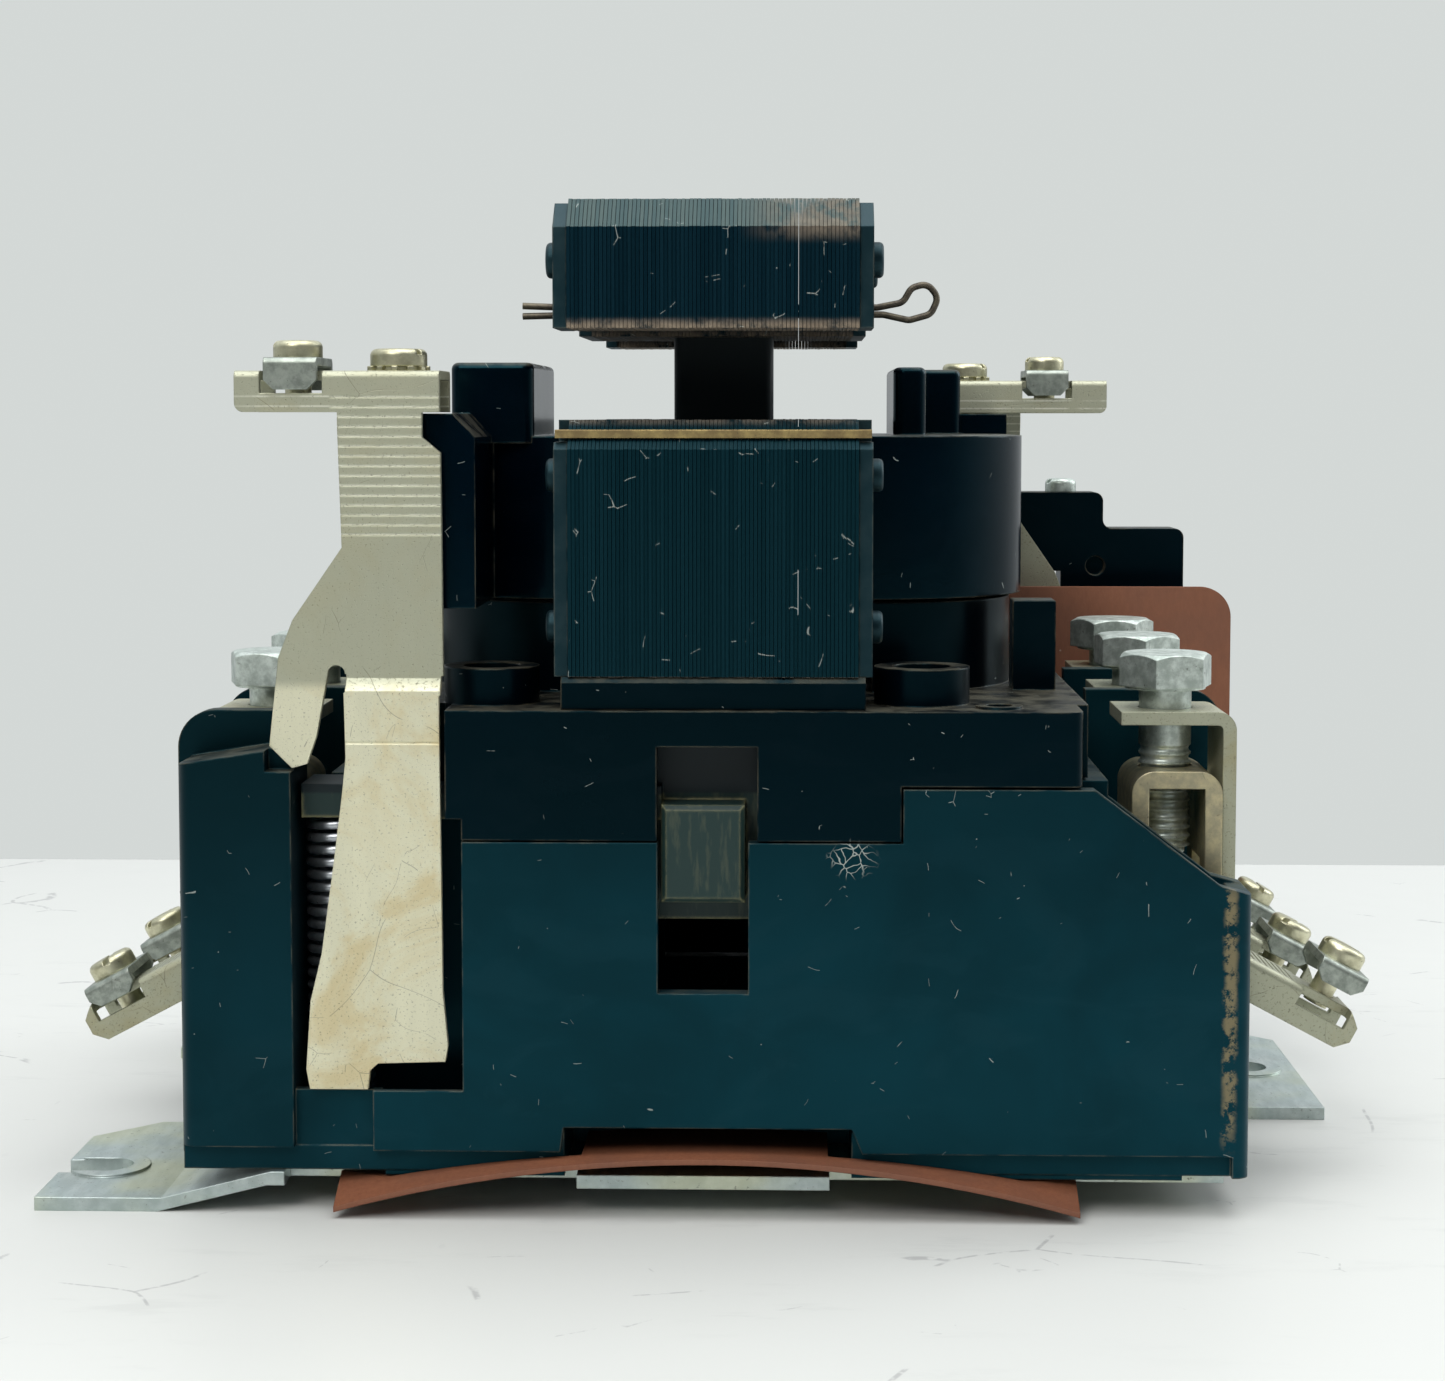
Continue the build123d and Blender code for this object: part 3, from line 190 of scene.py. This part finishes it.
class Finish(Tree):
    """One material, with the patterns that the finishes here are made from."""

    def __init__(self, name):
        self.material = bpy.data.materials.new(name)
        super().__init__(self.material)
        self.shader = self.nodes["Principled BSDF"]
        self.place = self.node("TexCoord").outputs["Object"]
        self.surface = self.node("NewGeometry")
        self.x, self.y, self.z = (self.axis(self.place, letter) for letter in "XYZ")
        self.facing_x, self.facing_y, self.facing_z = (
            self.axis(self.surface.outputs["Normal"], letter) for letter in "XYZ")

    def stretched(self, scale):
        """The place on the piece, in metres, with each axis multiplied."""
        moved = self.node("VectorMath", {"operation": "MULTIPLY"}, {0: self.place, 1: scale})
        return moved.outputs["Vector"]

    def noise(self, size, detail=4.0, rough=0.55, scale=(1, 1, 1), twist=0.0):
        """Cloudy noise from 0 to 1 whose blobs measure about size in metres."""
        made = self.node(
            "TexNoise", None,
            {"Vector": self.stretched(scale), "Scale": 1 / size, "Detail": detail,
             "Roughness": rough, "Distortion": twist},
        )
        return Signal(self, made.outputs["Fac"])

    def specks(self, spacing, radius, share, seed=0.0):
        """Small round specks: one possible speck a cell, and only a share of the cells used."""
        shifted = self.node("VectorMath", {"operation": "ADD"},
                            {0: self.place, 1: (seed, seed / 2, seed / 3)})
        cells = self.node("TexVoronoi", None, {"Vector": shifted.outputs["Vector"], "Scale": 1 / spacing})
        chosen = self.node("SeparateColor", None, {"Color": cells.outputs["Color"]})
        near = Signal(self, cells.outputs["Distance"]).below(radius / spacing, radius / spacing * 0.5)
        return near * Signal(self, chosen.outputs["Red"]).below(share, 0.01)

    def hairs(self, spacing, width, share, seed=0.0, patch=0.6):
        """Short curved hairs: thin cell edges of a bent pattern, kept only in a few patches."""
        bend = self.node("TexNoise", None, {"Vector": self.place, "Scale": 0.6 / spacing, "Detail": 2.0})
        bent = self.node("VectorMath", {"operation": "MULTIPLY_ADD"},
                         {0: bend.outputs["Color"], 1: (1.2 * spacing,) * 3, 2: self.place})
        shifted = self.node("VectorMath", {"operation": "ADD"},
                            {0: bent.outputs["Vector"], 1: (seed, seed, -seed)})
        cells = self.node("TexVoronoi", {"feature": "DISTANCE_TO_EDGE"},
                          {"Vector": shifted.outputs["Vector"], "Scale": 1 / spacing})
        line = Signal(self, cells.outputs["Distance"]).below(width / spacing, width / spacing)
        return line * self.noise(spacing * patch, 1.0).above(1 - share, 0.02)

    def edges(self, radius, from_level=0.02, to_level=0.25):
        """1 close to an outer edge, 0 on flat ground."""
        rounded = self.node("Bevel", {"samples": 6}, {"Radius": radius})
        dot = self.node("VectorMath", {"operation": "DOT_PRODUCT"},
                        {0: rounded.outputs["Normal"], 1: self.surface.outputs["Normal"]})
        turned = 1 - Signal(self, dot.outputs["Value"])
        return turned.above((from_level + to_level) / 2, to_level - from_level)

    def mix(self, factor, first, second):
        """A colour between two colours."""
        made = self.node("Mix", {"data_type": "RGBA"})
        self.feed(made.inputs[0], factor)
        for socket, colour in ((made.inputs[6], first), (made.inputs[7], second)):
            self.feed(socket, (*colour, 1) if isinstance(colour, tuple) else colour)
        return made.outputs[2]

    def done(self, colour, rough, height=None, metal=0.0, edge=0.0003, specular=0.5, tint=(1, 1, 1)):
        """Connect the finished signals to the shader, with softly rounded edges."""
        self.feed(self.shader.inputs["Base Color"], colour)
        self.feed(self.shader.inputs["Roughness"], rough)
        self.feed(self.shader.inputs["Metallic"], metal)
        self.shader.inputs["Specular IOR Level"].default_value = specular
        self.shader.inputs["Specular Tint"].default_value = (*tint, 1)
        normal = self.node("Bevel", {"samples": 6}, {"Radius": edge}).outputs["Normal"]
        if height is not None:
            bump = self.node("Bump", None,
                             {"Height": height, "Distance": 1.0, "Strength": 1.0, "Normal": normal})
            normal = bump.outputs["Normal"]
        self.feed(self.shader.inputs["Normal"], normal)
        print("finish:", self.material.name, "with", len(self.nodes), "nodes")
        return self.material


def dress(material, *names):
    """Give CAD nodes a finish."""
    for name in names:
        mesh = nodes[name].data
        mesh.materials.clear()
        mesh.materials.append(material)


# %% [markdown]
# ## Light and table
#
# Soft light comes from above, behind and both sides, and little from where the viewer
# stands. Black glossy mouldings show mostly what they reflect, so a dark front keeps them
# black, while the pale table lifts their lower parts. The table is a slab with a far edge,
# in white laminate that is a little grubby and scratched.

# %% The room
scene.view_settings.view_transform = "Standard"
scene.view_settings.look = "None"
table_white = (0.635, 0.642, 0.622)
backdrop_grey = (0.655, 0.688, 0.675)

room = bpy.data.worlds.new("studio")
scene.world = room
around = Tree(room)
direction = around.node("TexCoord").outputs["Generated"]
towards_viewer = around.axis(direction, "Y").below(-0.35, 0.9)
upwards = around.axis(direction, "Z").above(0.15, 0.9)
glow = (0.30 + upwards * 0.62) * (1 - towards_viewer * 0.86)
lit = around.node("Background", None, {"Color": (0.93, 0.98, 1.0, 1), "Strength": glow})
shown = around.node("Background", None, {"Color": (*backdrop_grey, 1), "Strength": 1.0})
seen_directly = around.node("LightPath").outputs["Is Camera Ray"]
choice = around.node("MixShader", None,
                     {0: seen_directly, 1: lit.outputs["Background"], 2: shown.outputs["Background"]})
around.feed(around.nodes["World Output"].inputs["Surface"], choice.outputs["Shader"])
print("world nodes:", len(around.nodes))


# %% Lamps
def panel_light(name, place, aim, size, watts, colour=(1, 1, 1)):
    """A soft rectangular light at a place, turned to face another."""
    lamp = bpy.data.lights.new(name, "AREA")
    lamp.shape = "RECTANGLE"
    lamp.size, lamp.size_y = size
    lamp.energy = watts
    lamp.color = colour
    holder = bpy.data.objects.new(name, lamp)
    scene.collection.objects.link(holder)
    holder.location = place
    holder.rotation_mode = "QUATERNION"
    holder.rotation_quaternion = (Vector(aim) - Vector(place)).to_track_quat("-Z", "Y")
    return holder


middle = (0.0, 0.0, 0.07)
panel_light("overhead", (0.05, -0.15, 0.95), middle, (1.1, 0.9), 8.0)
panel_light("high_front", (-0.35, -0.85, 0.80), middle, (0.6, 0.4), 4.5, (1.0, 0.99, 0.96))
panel_light("right_back", (0.80, 0.35, 0.45), middle, (0.4, 0.6), 2.2, (0.98, 1.0, 1.0))

# %% Table top
table_far = 0.246
table_reach = 1.1
table_thick = 0.03


def table_finish():
    f = Finish("table_laminate")
    smear = f.noise(0.07, 5.0, 0.6).above(0.56, 0.3)
    streak = f.noise(0.010, 5.0, 0.7, scale=(0.25, 1, 1)).above(0.60, 0.12)
    streak = streak * f.noise(0.12, 2.0).above(0.52, 0.12)
    marks = f.hairs(0.05, 0.00028, 0.40) * f.noise(0.002, 2.0).above(0.45, 0.2)
    scrapes = f.hairs(0.022, 0.00016, 0.34, seed=0.7) * f.noise(0.0015, 3.0).above(0.48, 0.2)
    grime = f.specks(0.02, 0.0006, 0.10)
    colour = f.mix(smear * 0.12, table_white, (0.58, 0.59, 0.57))
    colour = f.mix(streak * 0.20, colour, (0.42, 0.43, 0.42))
    colour = f.mix((marks * 0.5 + scrapes * 0.4 + grime * 0.7).clamped(), colour, (0.25, 0.25, 0.26))
    return f.done(colour, 0.42 + smear * 0.1, f.noise(0.0015, 3.0) * 0.00001, specular=0.3, edge=0.002)


bpy.ops.mesh.primitive_cube_add(size=1)
table = bpy.context.object
table.name = "table_top"
table.scale = (2 * table_reach, table_far + table_reach, table_thick)
table.location = (0, (table_far - table_reach) / 2, -table_thick / 2)
bpy.ops.object.transform_apply(location=True, scale=True)
table.data.materials.append(table_finish())

# %% [markdown]
# ## Black phenolic moulding
#
# The base and the cover are compression-moulded phenolic. It is nearly black with a
# blue-green cast, half glossy, and after years in a cabinet it carries dust specks, lint
# and rubbed, paler edges, which are partly a painted edge highlight. Dust lies thicker on
# surfaces that look up. The mouldings are also darkened towards the top and along the
# left side as painted shade.


# %% Mouldings
near_side = -0.055
stripe_x = 0.0738
stripe_low, stripe_high = 0.012, 0.048
tuft_x, tuft_z = 0.0200, 0.0520
tuft_radius = 0.0030


def moulding_finish(name, body, gloss, dust=1.0, edge_tan=0.5, specular=0.28, scuffed_stripe=False):
    f = Finish(name)
    cloud = f.noise(0.030, 4.0, 0.6, twist=0.6)
    grain = f.noise(0.0009, 3.0)
    specks = f.specks(0.0034, 0.00009, 0.16) + f.specks(0.013, 0.00015, 0.40, seed=0.31)
    lint = f.hairs(0.0065, 0.00003, 0.30, patch=0.35) + f.hairs(0.013, 0.00004, 0.28, seed=0.17)
    # a small tuft of lint clings to the near side where the cover meets the base
    off_tuft = ((f.x - tuft_x) ** 2 + (f.z - tuft_z) ** 2 * 1.6).maths("SQRT")
    ragged = off_tuft + (f.noise(0.004, 3.0) - 0.5) * 0.004
    tuft = f.hairs(0.0017, 0.00005, 1.0, seed=0.05) * ragged.below(tuft_radius, 0.0020)
    tuft = tuft * f.y.below(near_side, 0.001)
    settled = f.facing_z.above(0.55, 0.5) * f.noise(0.006, 5.0, 0.65).above(0.50, 0.35)
    # the outer edges go a dusty tan: partly rubbed wear, partly a painted edge highlight
    rubbed_and_highlit = f.edges(0.0005, 0.03, 0.35) * f.noise(0.004, 4.0).above(0.50, 0.25)
    wiped = f.noise(0.022, 5.0, 0.6, scale=(1, 1, 2.2), twist=1.2).above(0.56, 0.12)
    colour = f.mix(cloud.above(0.5, 0.40) * 0.7, body, tuple(c * 1.9 for c in body))
    colour = f.mix(wiped * 0.35, colour, tuple(c * 1.7 + 0.0035 for c in body))
    # painted shade: the moulding colour is darkened towards the top, above about 45 mm, and along the left
    # side beyond x = -56 mm
    painted_shade = f.z.above(0.045, 0.045) * 0.55 + f.x.below(-0.056, 0.006) * 0.35
    colour = f.mix(painted_shade.clamped(), colour, tuple(c * 0.15 for c in body))
    colour = f.mix((settled * 0.20 * dust).clamped(), colour, (0.30, 0.27, 0.19))
    colour = f.mix((rubbed_and_highlit * edge_tan).clamped(), colour, (0.30, 0.26, 0.17))
    if scuffed_stripe:
        # a pallet strap has rubbed the near side face beside its right-hand edge
        beside = (f.x - stripe_x + (f.noise(0.003, 4.0) - 0.5) * 0.0016).maths("ABSOLUTE")
        beside = beside.below(0.0009, 0.0009)
        band = beside * f.z.above(stripe_low, 0.006) * f.z.below(stripe_high, 0.004)
        band = band * f.y.below(near_side, 0.001)
        scuff = band * f.noise(0.0024, 5.0, 0.75).above(0.50, 0.10)
        colour = f.mix(scuff * 0.6, colour, (0.34, 0.26, 0.13))
    colour = f.mix(((specks + lint) * 0.5 * dust + tuft * 0.7).clamped(), colour, (0.55, 0.60, 0.56))
    rough = (gloss + cloud * 0.10 + settled * 0.3 + specks * 0.4).clamped()
    height = grain * 0.000005 + f.noise(0.012, 2.0) * 0.00004 + (specks + lint) * 0.00003
    return f.done(colour, rough, height, specular=specular, tint=(0.20, 0.80, 1.0), edge=0.0004)


base_black = (0.0012, 0.0165, 0.0240)
cover_black = (0.0002, 0.0020, 0.0048)
dress(moulding_finish("base_phenolic", base_black, 0.36, edge_tan=0.6, scuffed_stripe=True),
      "base_moulding", "line_barriers", "load_barriers", "line_ledges", "load_ledges")
dress(moulding_finish("cover_phenolic", cover_black, 0.24, dust=1.2, specular=0.16),
      "cover_moulding", "auxiliary_block", "core_seats")
dress(moulding_finish("coil_encapsulation", (0.0001, 0.0028, 0.0075), 0.12, dust=1.3, specular=0.24), "coil")

# %% [markdown]
# The carrier's indicator tab slides in its window, so its rims are worn to a straw colour
# and its face is scratched. The rest of the carrier is plain black and mostly hidden.


# %% Carrier
tab_top = 0.0605


def carrier_finish():
    f = Finish("carrier_worn_phenolic")
    worn = f.edges(0.0011, 0.02, 0.28) * f.noise(0.0022, 5.0, 0.7).above(0.42, 0.3)
    streak = f.noise(0.0012, 4.0, 0.6, scale=(1, 1, 0.18)).above(0.60, 0.16)
    on_tab = f.z.below(tab_top, 0.0006)
    colour = f.mix(on_tab, (0.004, 0.013, 0.017), (0.014, 0.036, 0.034))
    colour = f.mix(streak * on_tab * 0.20, colour, (0.17, 0.17, 0.10))
    colour = f.mix(worn * on_tab * 0.9, colour, (0.38, 0.35, 0.17))
    return f.done(colour, 0.42 + worn * 0.2, f.noise(0.0007) * 0.00001, edge=0.0004, specular=0.3)


dress(carrier_finish(), "contact_carrier")

# %% [markdown]
# ## Sheet-steel magnet
#
# A magnet for alternating current is a stack of varnished sheets, each about 0.58 mm
# thick, pressed between two side plates. A bump map of stripes looks right only from far
# off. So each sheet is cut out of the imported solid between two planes, and nudged by a few
# hundredths of a millimetre, as punched sheets are. The stack keeps the solid's outline.

# %% Cut a solid into sheets
sheet_pitch = 0.578 * MM
sheet_gap = 0.07 * MM
nudge = 0.035 * MM


def laminate(node_name, new_name, seed):
    """A stack of sheets that stands for a solid CAD node."""
    rng = random.Random(seed)
    solid = nodes[node_name]
    low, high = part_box(node_name)
    count = round((high.x - low.x) / sheet_pitch)
    pitch = (high.x - low.x) / count
    stack = bmesh.new()
    stacked = bpy.data.meshes.new(new_name)
    for i in range(count):
        cut = bmesh.new()
        cut.from_mesh(solid.data)
        bmesh.ops.remove_doubles(cut, verts=cut.verts, dist=1e-7)
        left = low.x + i * pitch + sheet_gap / 2
        right = low.x + (i + 1) * pitch - sheet_gap / 2
        for x, outwards in ((left, -1), (right, 1)):
            everything = cut.verts[:] + cut.edges[:] + cut.faces[:]
            bmesh.ops.bisect_plane(cut, geom=everything, plane_co=(x, 0, 0),
                                   plane_no=(outwards, 0, 0), clear_outer=True)
            rim = [e for e in cut.edges if e.is_boundary]
            bmesh.ops.holes_fill(cut, edges=rim)
        shift = Vector((0, rng.uniform(-nudge, nudge), rng.uniform(-nudge, nudge)))
        bmesh.ops.translate(cut, vec=shift, verts=cut.verts)
        cut.to_mesh(stacked)
        stack.from_mesh(stacked)
        cut.free()
    stack.to_mesh(stacked)
    stack.free()
    piece = bpy.data.objects.new(new_name, stacked)
    scene.collection.objects.link(piece)
    print(new_name, count, "sheets,", len(stacked.polygons), "faces")
    return piece


core_stack = laminate("magnet_core", "core_sheets", 11)
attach(core_stack, "frame")
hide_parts("magnet_core")
armature_stack = laminate("armature", "armature_sheets", 23)
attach(armature_stack, "carrier")
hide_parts("armature")


# %% Varnished sheet edges
def sheet_finish(name, body, low_rust, high_rust, bright_top=0.0):
    """Varnished sheet edges, each sheet a little lighter or darker, with rust where damp got in."""
    f = Finish(name)
    number = (f.x / sheet_pitch).maths("FLOOR")
    tone = f.node("TexWhiteNoise", {"noise_dimensions": "1D"}, {"W": number})
    tone = Signal(f, tone.outputs["Value"])
    along = f.noise(0.003, 4.0, 0.6, scale=(4, 1, 0.25))
    colour = f.mix((tone * 0.30 + along * 0.35).clamped(), body, tuple(c * 2.2 + 0.001 for c in body))
    flecks = f.specks(0.0030, 0.00010, 0.16) + f.hairs(0.0060, 0.00005, 0.36, patch=0.4)
    grime = f.noise(0.0013, 5.0, 0.7)
    blotch = f.noise(0.004, 5.0, 0.75)
    up = f.facing_z.above(0.4, 0.3) * bright_top
    pale = f.mix((tone * 0.5 + grime * 0.4).clamped(), (0.055, 0.075, 0.062), (0.20, 0.23, 0.19))
    colour = f.mix(up, colour, pale)
    rusty = (low_rust(f) + high_rust(f)) * blotch.above(0.45, 0.2)
    rust = f.mix(grime, (0.085, 0.050, 0.032), (0.42, 0.33, 0.24))
    colour = f.mix((rusty * 0.85).clamped(), colour, rust)
    colour = f.mix((flecks * 0.5).clamped(), colour, (0.55, 0.58, 0.54))
    rough = (0.38 + tone * 0.12 + rusty * 0.3).clamped()
    return f.done(colour, rough, grime * 0.000012, specular=0.30, tint=(0.2, 0.8, 1.0), edge=0.00006)


core_low, core_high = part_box("magnet_core")
arm_low, arm_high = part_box("armature")


def pole_face_rust(f):
    return f.z.below(arm_low.z + 0.0010, 0.0014)


def corner_rust(f):
    """A patch on the near top edge of the armature, towards the load terminals."""
    on_top_edge = f.z.above(arm_high.z - 0.0056, 0.0024) * f.x.above(0.009, 0.012)
    return on_top_edge * f.y.below(-0.056, 0.003) * 0.7


core_stack.data.materials.append(sheet_finish(
    "core_sheet_varnish", (0.0003, 0.0062, 0.0098),
    lambda f: f.z.below(core_low.z, 0.0002),
    lambda f: f.z.above(core_high.z - 0.0006, 0.001) * 0.5))
armature_stack.data.materials.append(sheet_finish(
    "armature_sheet_varnish", (0.0001, 0.0038, 0.0085), pole_face_rust, corner_rust, bright_top=0.45))


# %% Side plates and rivets
def varnished_steel():
    f = Finish("varnished_steel")
    mottled = f.noise(0.004, 5.0, 0.65)
    worn = f.edges(0.0005, 0.03, 0.3) * mottled.above(0.48, 0.25)
    colour = f.mix(mottled.above(0.55, 0.3) * 0.6, (0.0015, 0.0085, 0.0125), (0.015, 0.026, 0.030))
    colour = f.mix(worn * 0.5, colour, (0.22, 0.21, 0.16))
    return f.done(colour, 0.38 + mottled * 0.15, mottled * 0.00002, edge=0.0003, specular=0.45,
                  tint=(0.4, 0.85, 1.0))


dress(varnished_steel(), "core_side_plates", "core_rivets", "armature_side_plates", "armature_rivets")


# %% [markdown]
# ## Yellowed plated strip
#
# The coil straps, the power terminals and the sloped control terminals are tin-plated.
# Old plating goes warm grey with a rash of dark pinholes, straw-coloured stains towards
# the ends and long thin scratches. The rolling direction shows as faint streaks.


# %% Plated strip
def plated_strip(name, body, stain, stain_share, rough=0.40, coined=False):
    f = Finish(name)
    pits = f.noise(0.00035, 3.0, 0.7).above(0.62, 0.10)
    blotch = f.noise(0.016, 5.0, 0.65, twist=0.8).above(1 - stain_share, 0.22)
    scratches = f.hairs(0.022, 0.00005, 0.44) + f.hairs(0.009, 0.00003, 0.40, seed=0.4)
    rolled = f.noise(0.004, 4.0, 0.6, scale=(1, 1, 0.12))
    colour = f.mix(rolled.above(0.5, 0.4) * 0.35, body, tuple(c * 0.80 for c in body))
    colour = f.mix(blotch * 0.6, colour, stain)
    if coined:
        # the upper strap is greyer, and a painted highlight is drawn along its coined ridges where they face
        # front or back
        upper = f.z.above(upper_strap_foot, 0.002)
        colour = f.mix(upper * 0.80, colour, (0.38, 0.395, 0.30))
        step = ((f.z - first_ridge) / ridge_pitch).maths("FRACT")
        ridge_highlight = step.below(0.12, 0.08) + step.above(0.94, 0.05)
        ridge_highlight = ridge_highlight * f.z.above(first_ridge - 0.0004, 0.0001) * f.z.below(last_ridge + 0.0006, 0.0001)
        ridge_highlight = ridge_highlight * f.facing_y.maths("ABSOLUTE").above(0.8, 0.2) * f.noise(0.004, 3.0).above(0.36, 0.3)
        colour = f.mix((ridge_highlight * 0.85).clamped(), colour, (0.80, 0.80, 0.68))
    colour = f.mix(pits * 0.5, colour, (0.16, 0.15, 0.11))
    colour = f.mix((scratches * 0.55).clamped(), colour, (0.20, 0.18, 0.13))
    height = pits * -0.00002 + scratches * -0.00002 + rolled * 0.00001
    return f.done(colour, (rough + pits * 0.25 + blotch * 0.08).clamped(), height, metal=0.55, edge=0.0003)


first_ridge = 0.0982
ridge_pitch = 0.0014
last_ridge = first_ridge + 14 * ridge_pitch
upper_strap_foot = 0.0765
strip = plated_strip("plated_strip", (0.82, 0.80, 0.60), (0.66, 0.52, 0.25), 0.46, 0.42, coined=True)
terminal_strip = plated_strip("terminal_strip", (0.46, 0.47, 0.35), (0.40, 0.35, 0.19), 0.42, 0.36)
dress(strip, "left_coil_strap", "right_coil_strap")
dress(terminal_strip, "load_terminals", "line_terminals", "control_terminals")

# %% [markdown]
# ## Zinc, gilt and bright wire
#
# Zinc plate shines greenish silver with a soft mottle. The wire collars had a yellow
# chromate, so they look gilt where they are clean. Springs are plain bright wire, and the
# cotter pin has gone dull brown.


# %% Plated fittings
def plated_fitting(name, body, shade, rough, metal=0.95, streaky=(1, 1, 1), iridescent=0.0):
    f = Finish(name)
    mottle = f.noise(0.0022, 5.0, 0.65, scale=streaky)
    broad = f.noise(0.02, 3.0, 0.5)
    colour = f.mix(mottle.above(0.48, 0.35), body, shade)
    if iridescent:
        tint = f.mix(broad.above(0.5, 0.3), (0.42, 0.60, 0.66), (0.68, 0.70, 0.42))
        colour = f.mix(broad.above(0.42, 0.4) * iridescent, colour, tint)
    dirt = f.noise(0.0008, 4.0, 0.7).above(0.66, 0.08)
    scratches = f.hairs(0.010, 0.00006, 0.34)
    colour = f.mix((dirt * 0.6 + scratches * 0.3).clamped(), colour, (0.10, 0.10, 0.08))
    height = mottle * 0.00001 + scratches * -0.00001
    return f.done(colour, (rough + mottle * 0.16 + dirt * 0.2).clamped(), height, metal=metal, edge=0.0003)


zinc = plated_fitting("zinc_plate", (0.76, 0.83, 0.78), (0.42, 0.48, 0.44), 0.32, 0.75)
saddle_zinc = plated_fitting("saddle_zinc", (0.44, 0.48, 0.43), (0.24, 0.27, 0.24), 0.34, 0.85)
sheet_zinc = plated_fitting("zinc_sheet", (0.56, 0.61, 0.59), (0.42, 0.47, 0.45), 0.28, 0.88,
                            streaky=(1, 0.3, 1), iridescent=0.45)
dress(zinc, "hex_clamp_screws", "auxiliary_screw")
dress(saddle_zinc, "coil_saddles", "control_saddles")
dress(sheet_zinc, "mounting_plate")
dress(plated_fitting("gilt_collar", (0.66, 0.58, 0.36), (0.44, 0.40, 0.28), 0.32), "wire_collars")
dress(plated_fitting("screw_plate", (0.68, 0.66, 0.48), (0.46, 0.44, 0.30), 0.30),
      "coil_clamp_screws", "coil_strap_screws", "coil_lock_washers", "control_screws",
      "cover_screws", "base_screws", "auxiliary_fixings")
dress(plated_fitting("spring_wire", (0.62, 0.65, 0.68), (0.40, 0.42, 0.45), 0.22),
      "near_return_spring", "far_return_spring", "near_contact_spring", "middle_contact_spring",
      "far_contact_spring")
dress(plated_fitting("cotter_wire", (0.16, 0.14, 0.10), (0.07, 0.06, 0.05), 0.38, 0.8), "cotter_pin")
dress(plated_fitting("contact_silver", (0.80, 0.79, 0.75), (0.45, 0.44, 0.42), 0.30),
      "fixed_contact_tips", "near_bridge_tips", "middle_bridge_tips", "far_bridge_tips")
dress(plated_fitting("bare_copper", (0.80, 0.42, 0.26), (0.45, 0.22, 0.14), 0.30),
      "near_contact_bridge", "middle_contact_bridge", "far_contact_bridge", "coil_winding")
dress(plated_fitting("shading_ring", (0.50, 0.38, 0.16), (0.26, 0.19, 0.09), 0.36, 0.8), "shading_coils")


# %% [markdown]
# ## Springs on their bodies
#
# The return springs stand in the base and the carrier presses them down, and each contact
# spring hangs in the carrier with its bridge at the lower end. A spring is longer at rest
# than when its joint has moved. Each one is copied onto its body, and the share of its
# length that it would keep after the joint's travel is printed.

# %% Copy the springs onto their bodies
joint_travel = {joint["name"]: joint["range_m"][1] for joint in frame["record"]["behaviour"]["joints"]}


def springy(node_name, new_name, body, joint):
    """A copy of a spring that stands for it on its body, printing the share of its length the joint's travel
    would leave.
    """
    piece = bpy.data.objects.new(new_name, nodes[node_name].data.copy())
    scene.collection.objects.link(piece)
    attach(piece, body)
    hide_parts(node_name)
    low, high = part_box(node_name)
    length = high.z - low.z
    keep = 1 - joint_travel[joint] / length
    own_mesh(piece)
    print(new_name, "is", round(length * 1000, 1), "mm long and keeps", round(keep, 3))


for side in ("near", "far"):
    springy(f"{side}_return_spring", f"{side}_return_coils", "frame", "carrier_travel")
for pole in ("near", "middle", "far"):
    springy(f"{pole}_contact_spring", f"{pole}_contact_coils", "carrier", f"{pole}_bridge_lift")

# %% [markdown]
# ## Fibre board and rubber
#
# Vulcanised fibre is pressed from cotton paper. Its faces are matt red-brown with a fine
# felt of fibres, and its cut edges are paler. The rubber under the core is plain and matt.


# %% Fibre and rubber
def fibre_finish():
    f = Finish("vulcanised_fibre")
    felt = f.noise(0.0007, 5.0, 0.7, scale=(1, 1, 0.4))
    cloud = f.noise(0.012, 3.0)
    cut = f.facing_y.maths("ABSOLUTE").above(0.8, 0.2)
    colour = f.mix(felt, (0.145, 0.046, 0.022), (0.270, 0.105, 0.052))
    colour = f.mix(cloud.above(0.55, 0.3) * 0.35, colour, (0.10, 0.050, 0.038))
    colour = f.mix(f.specks(0.003, 0.00018, 0.12) * 0.5, colour, (0.65, 0.58, 0.50))
    return f.done(f.mix(cut * 0.25, colour, (0.40, 0.20, 0.14)), 0.78, felt * 0.00004, specular=0.25)


def rubber_finish():
    f = Finish("cushion_rubber")
    grain = f.noise(0.0006, 3.0)
    return f.done(f.mix(grain * 0.5, (0.012, 0.012, 0.012), (0.03, 0.03, 0.03)), 0.75, grain * 0.00001)


dress(fibre_finish(), "fibre_liner", "fibre_barrier")
dress(rubber_finish(), "core_cushions")

# %% [markdown]
# ## Close
#

# %% Finish
print("finished")
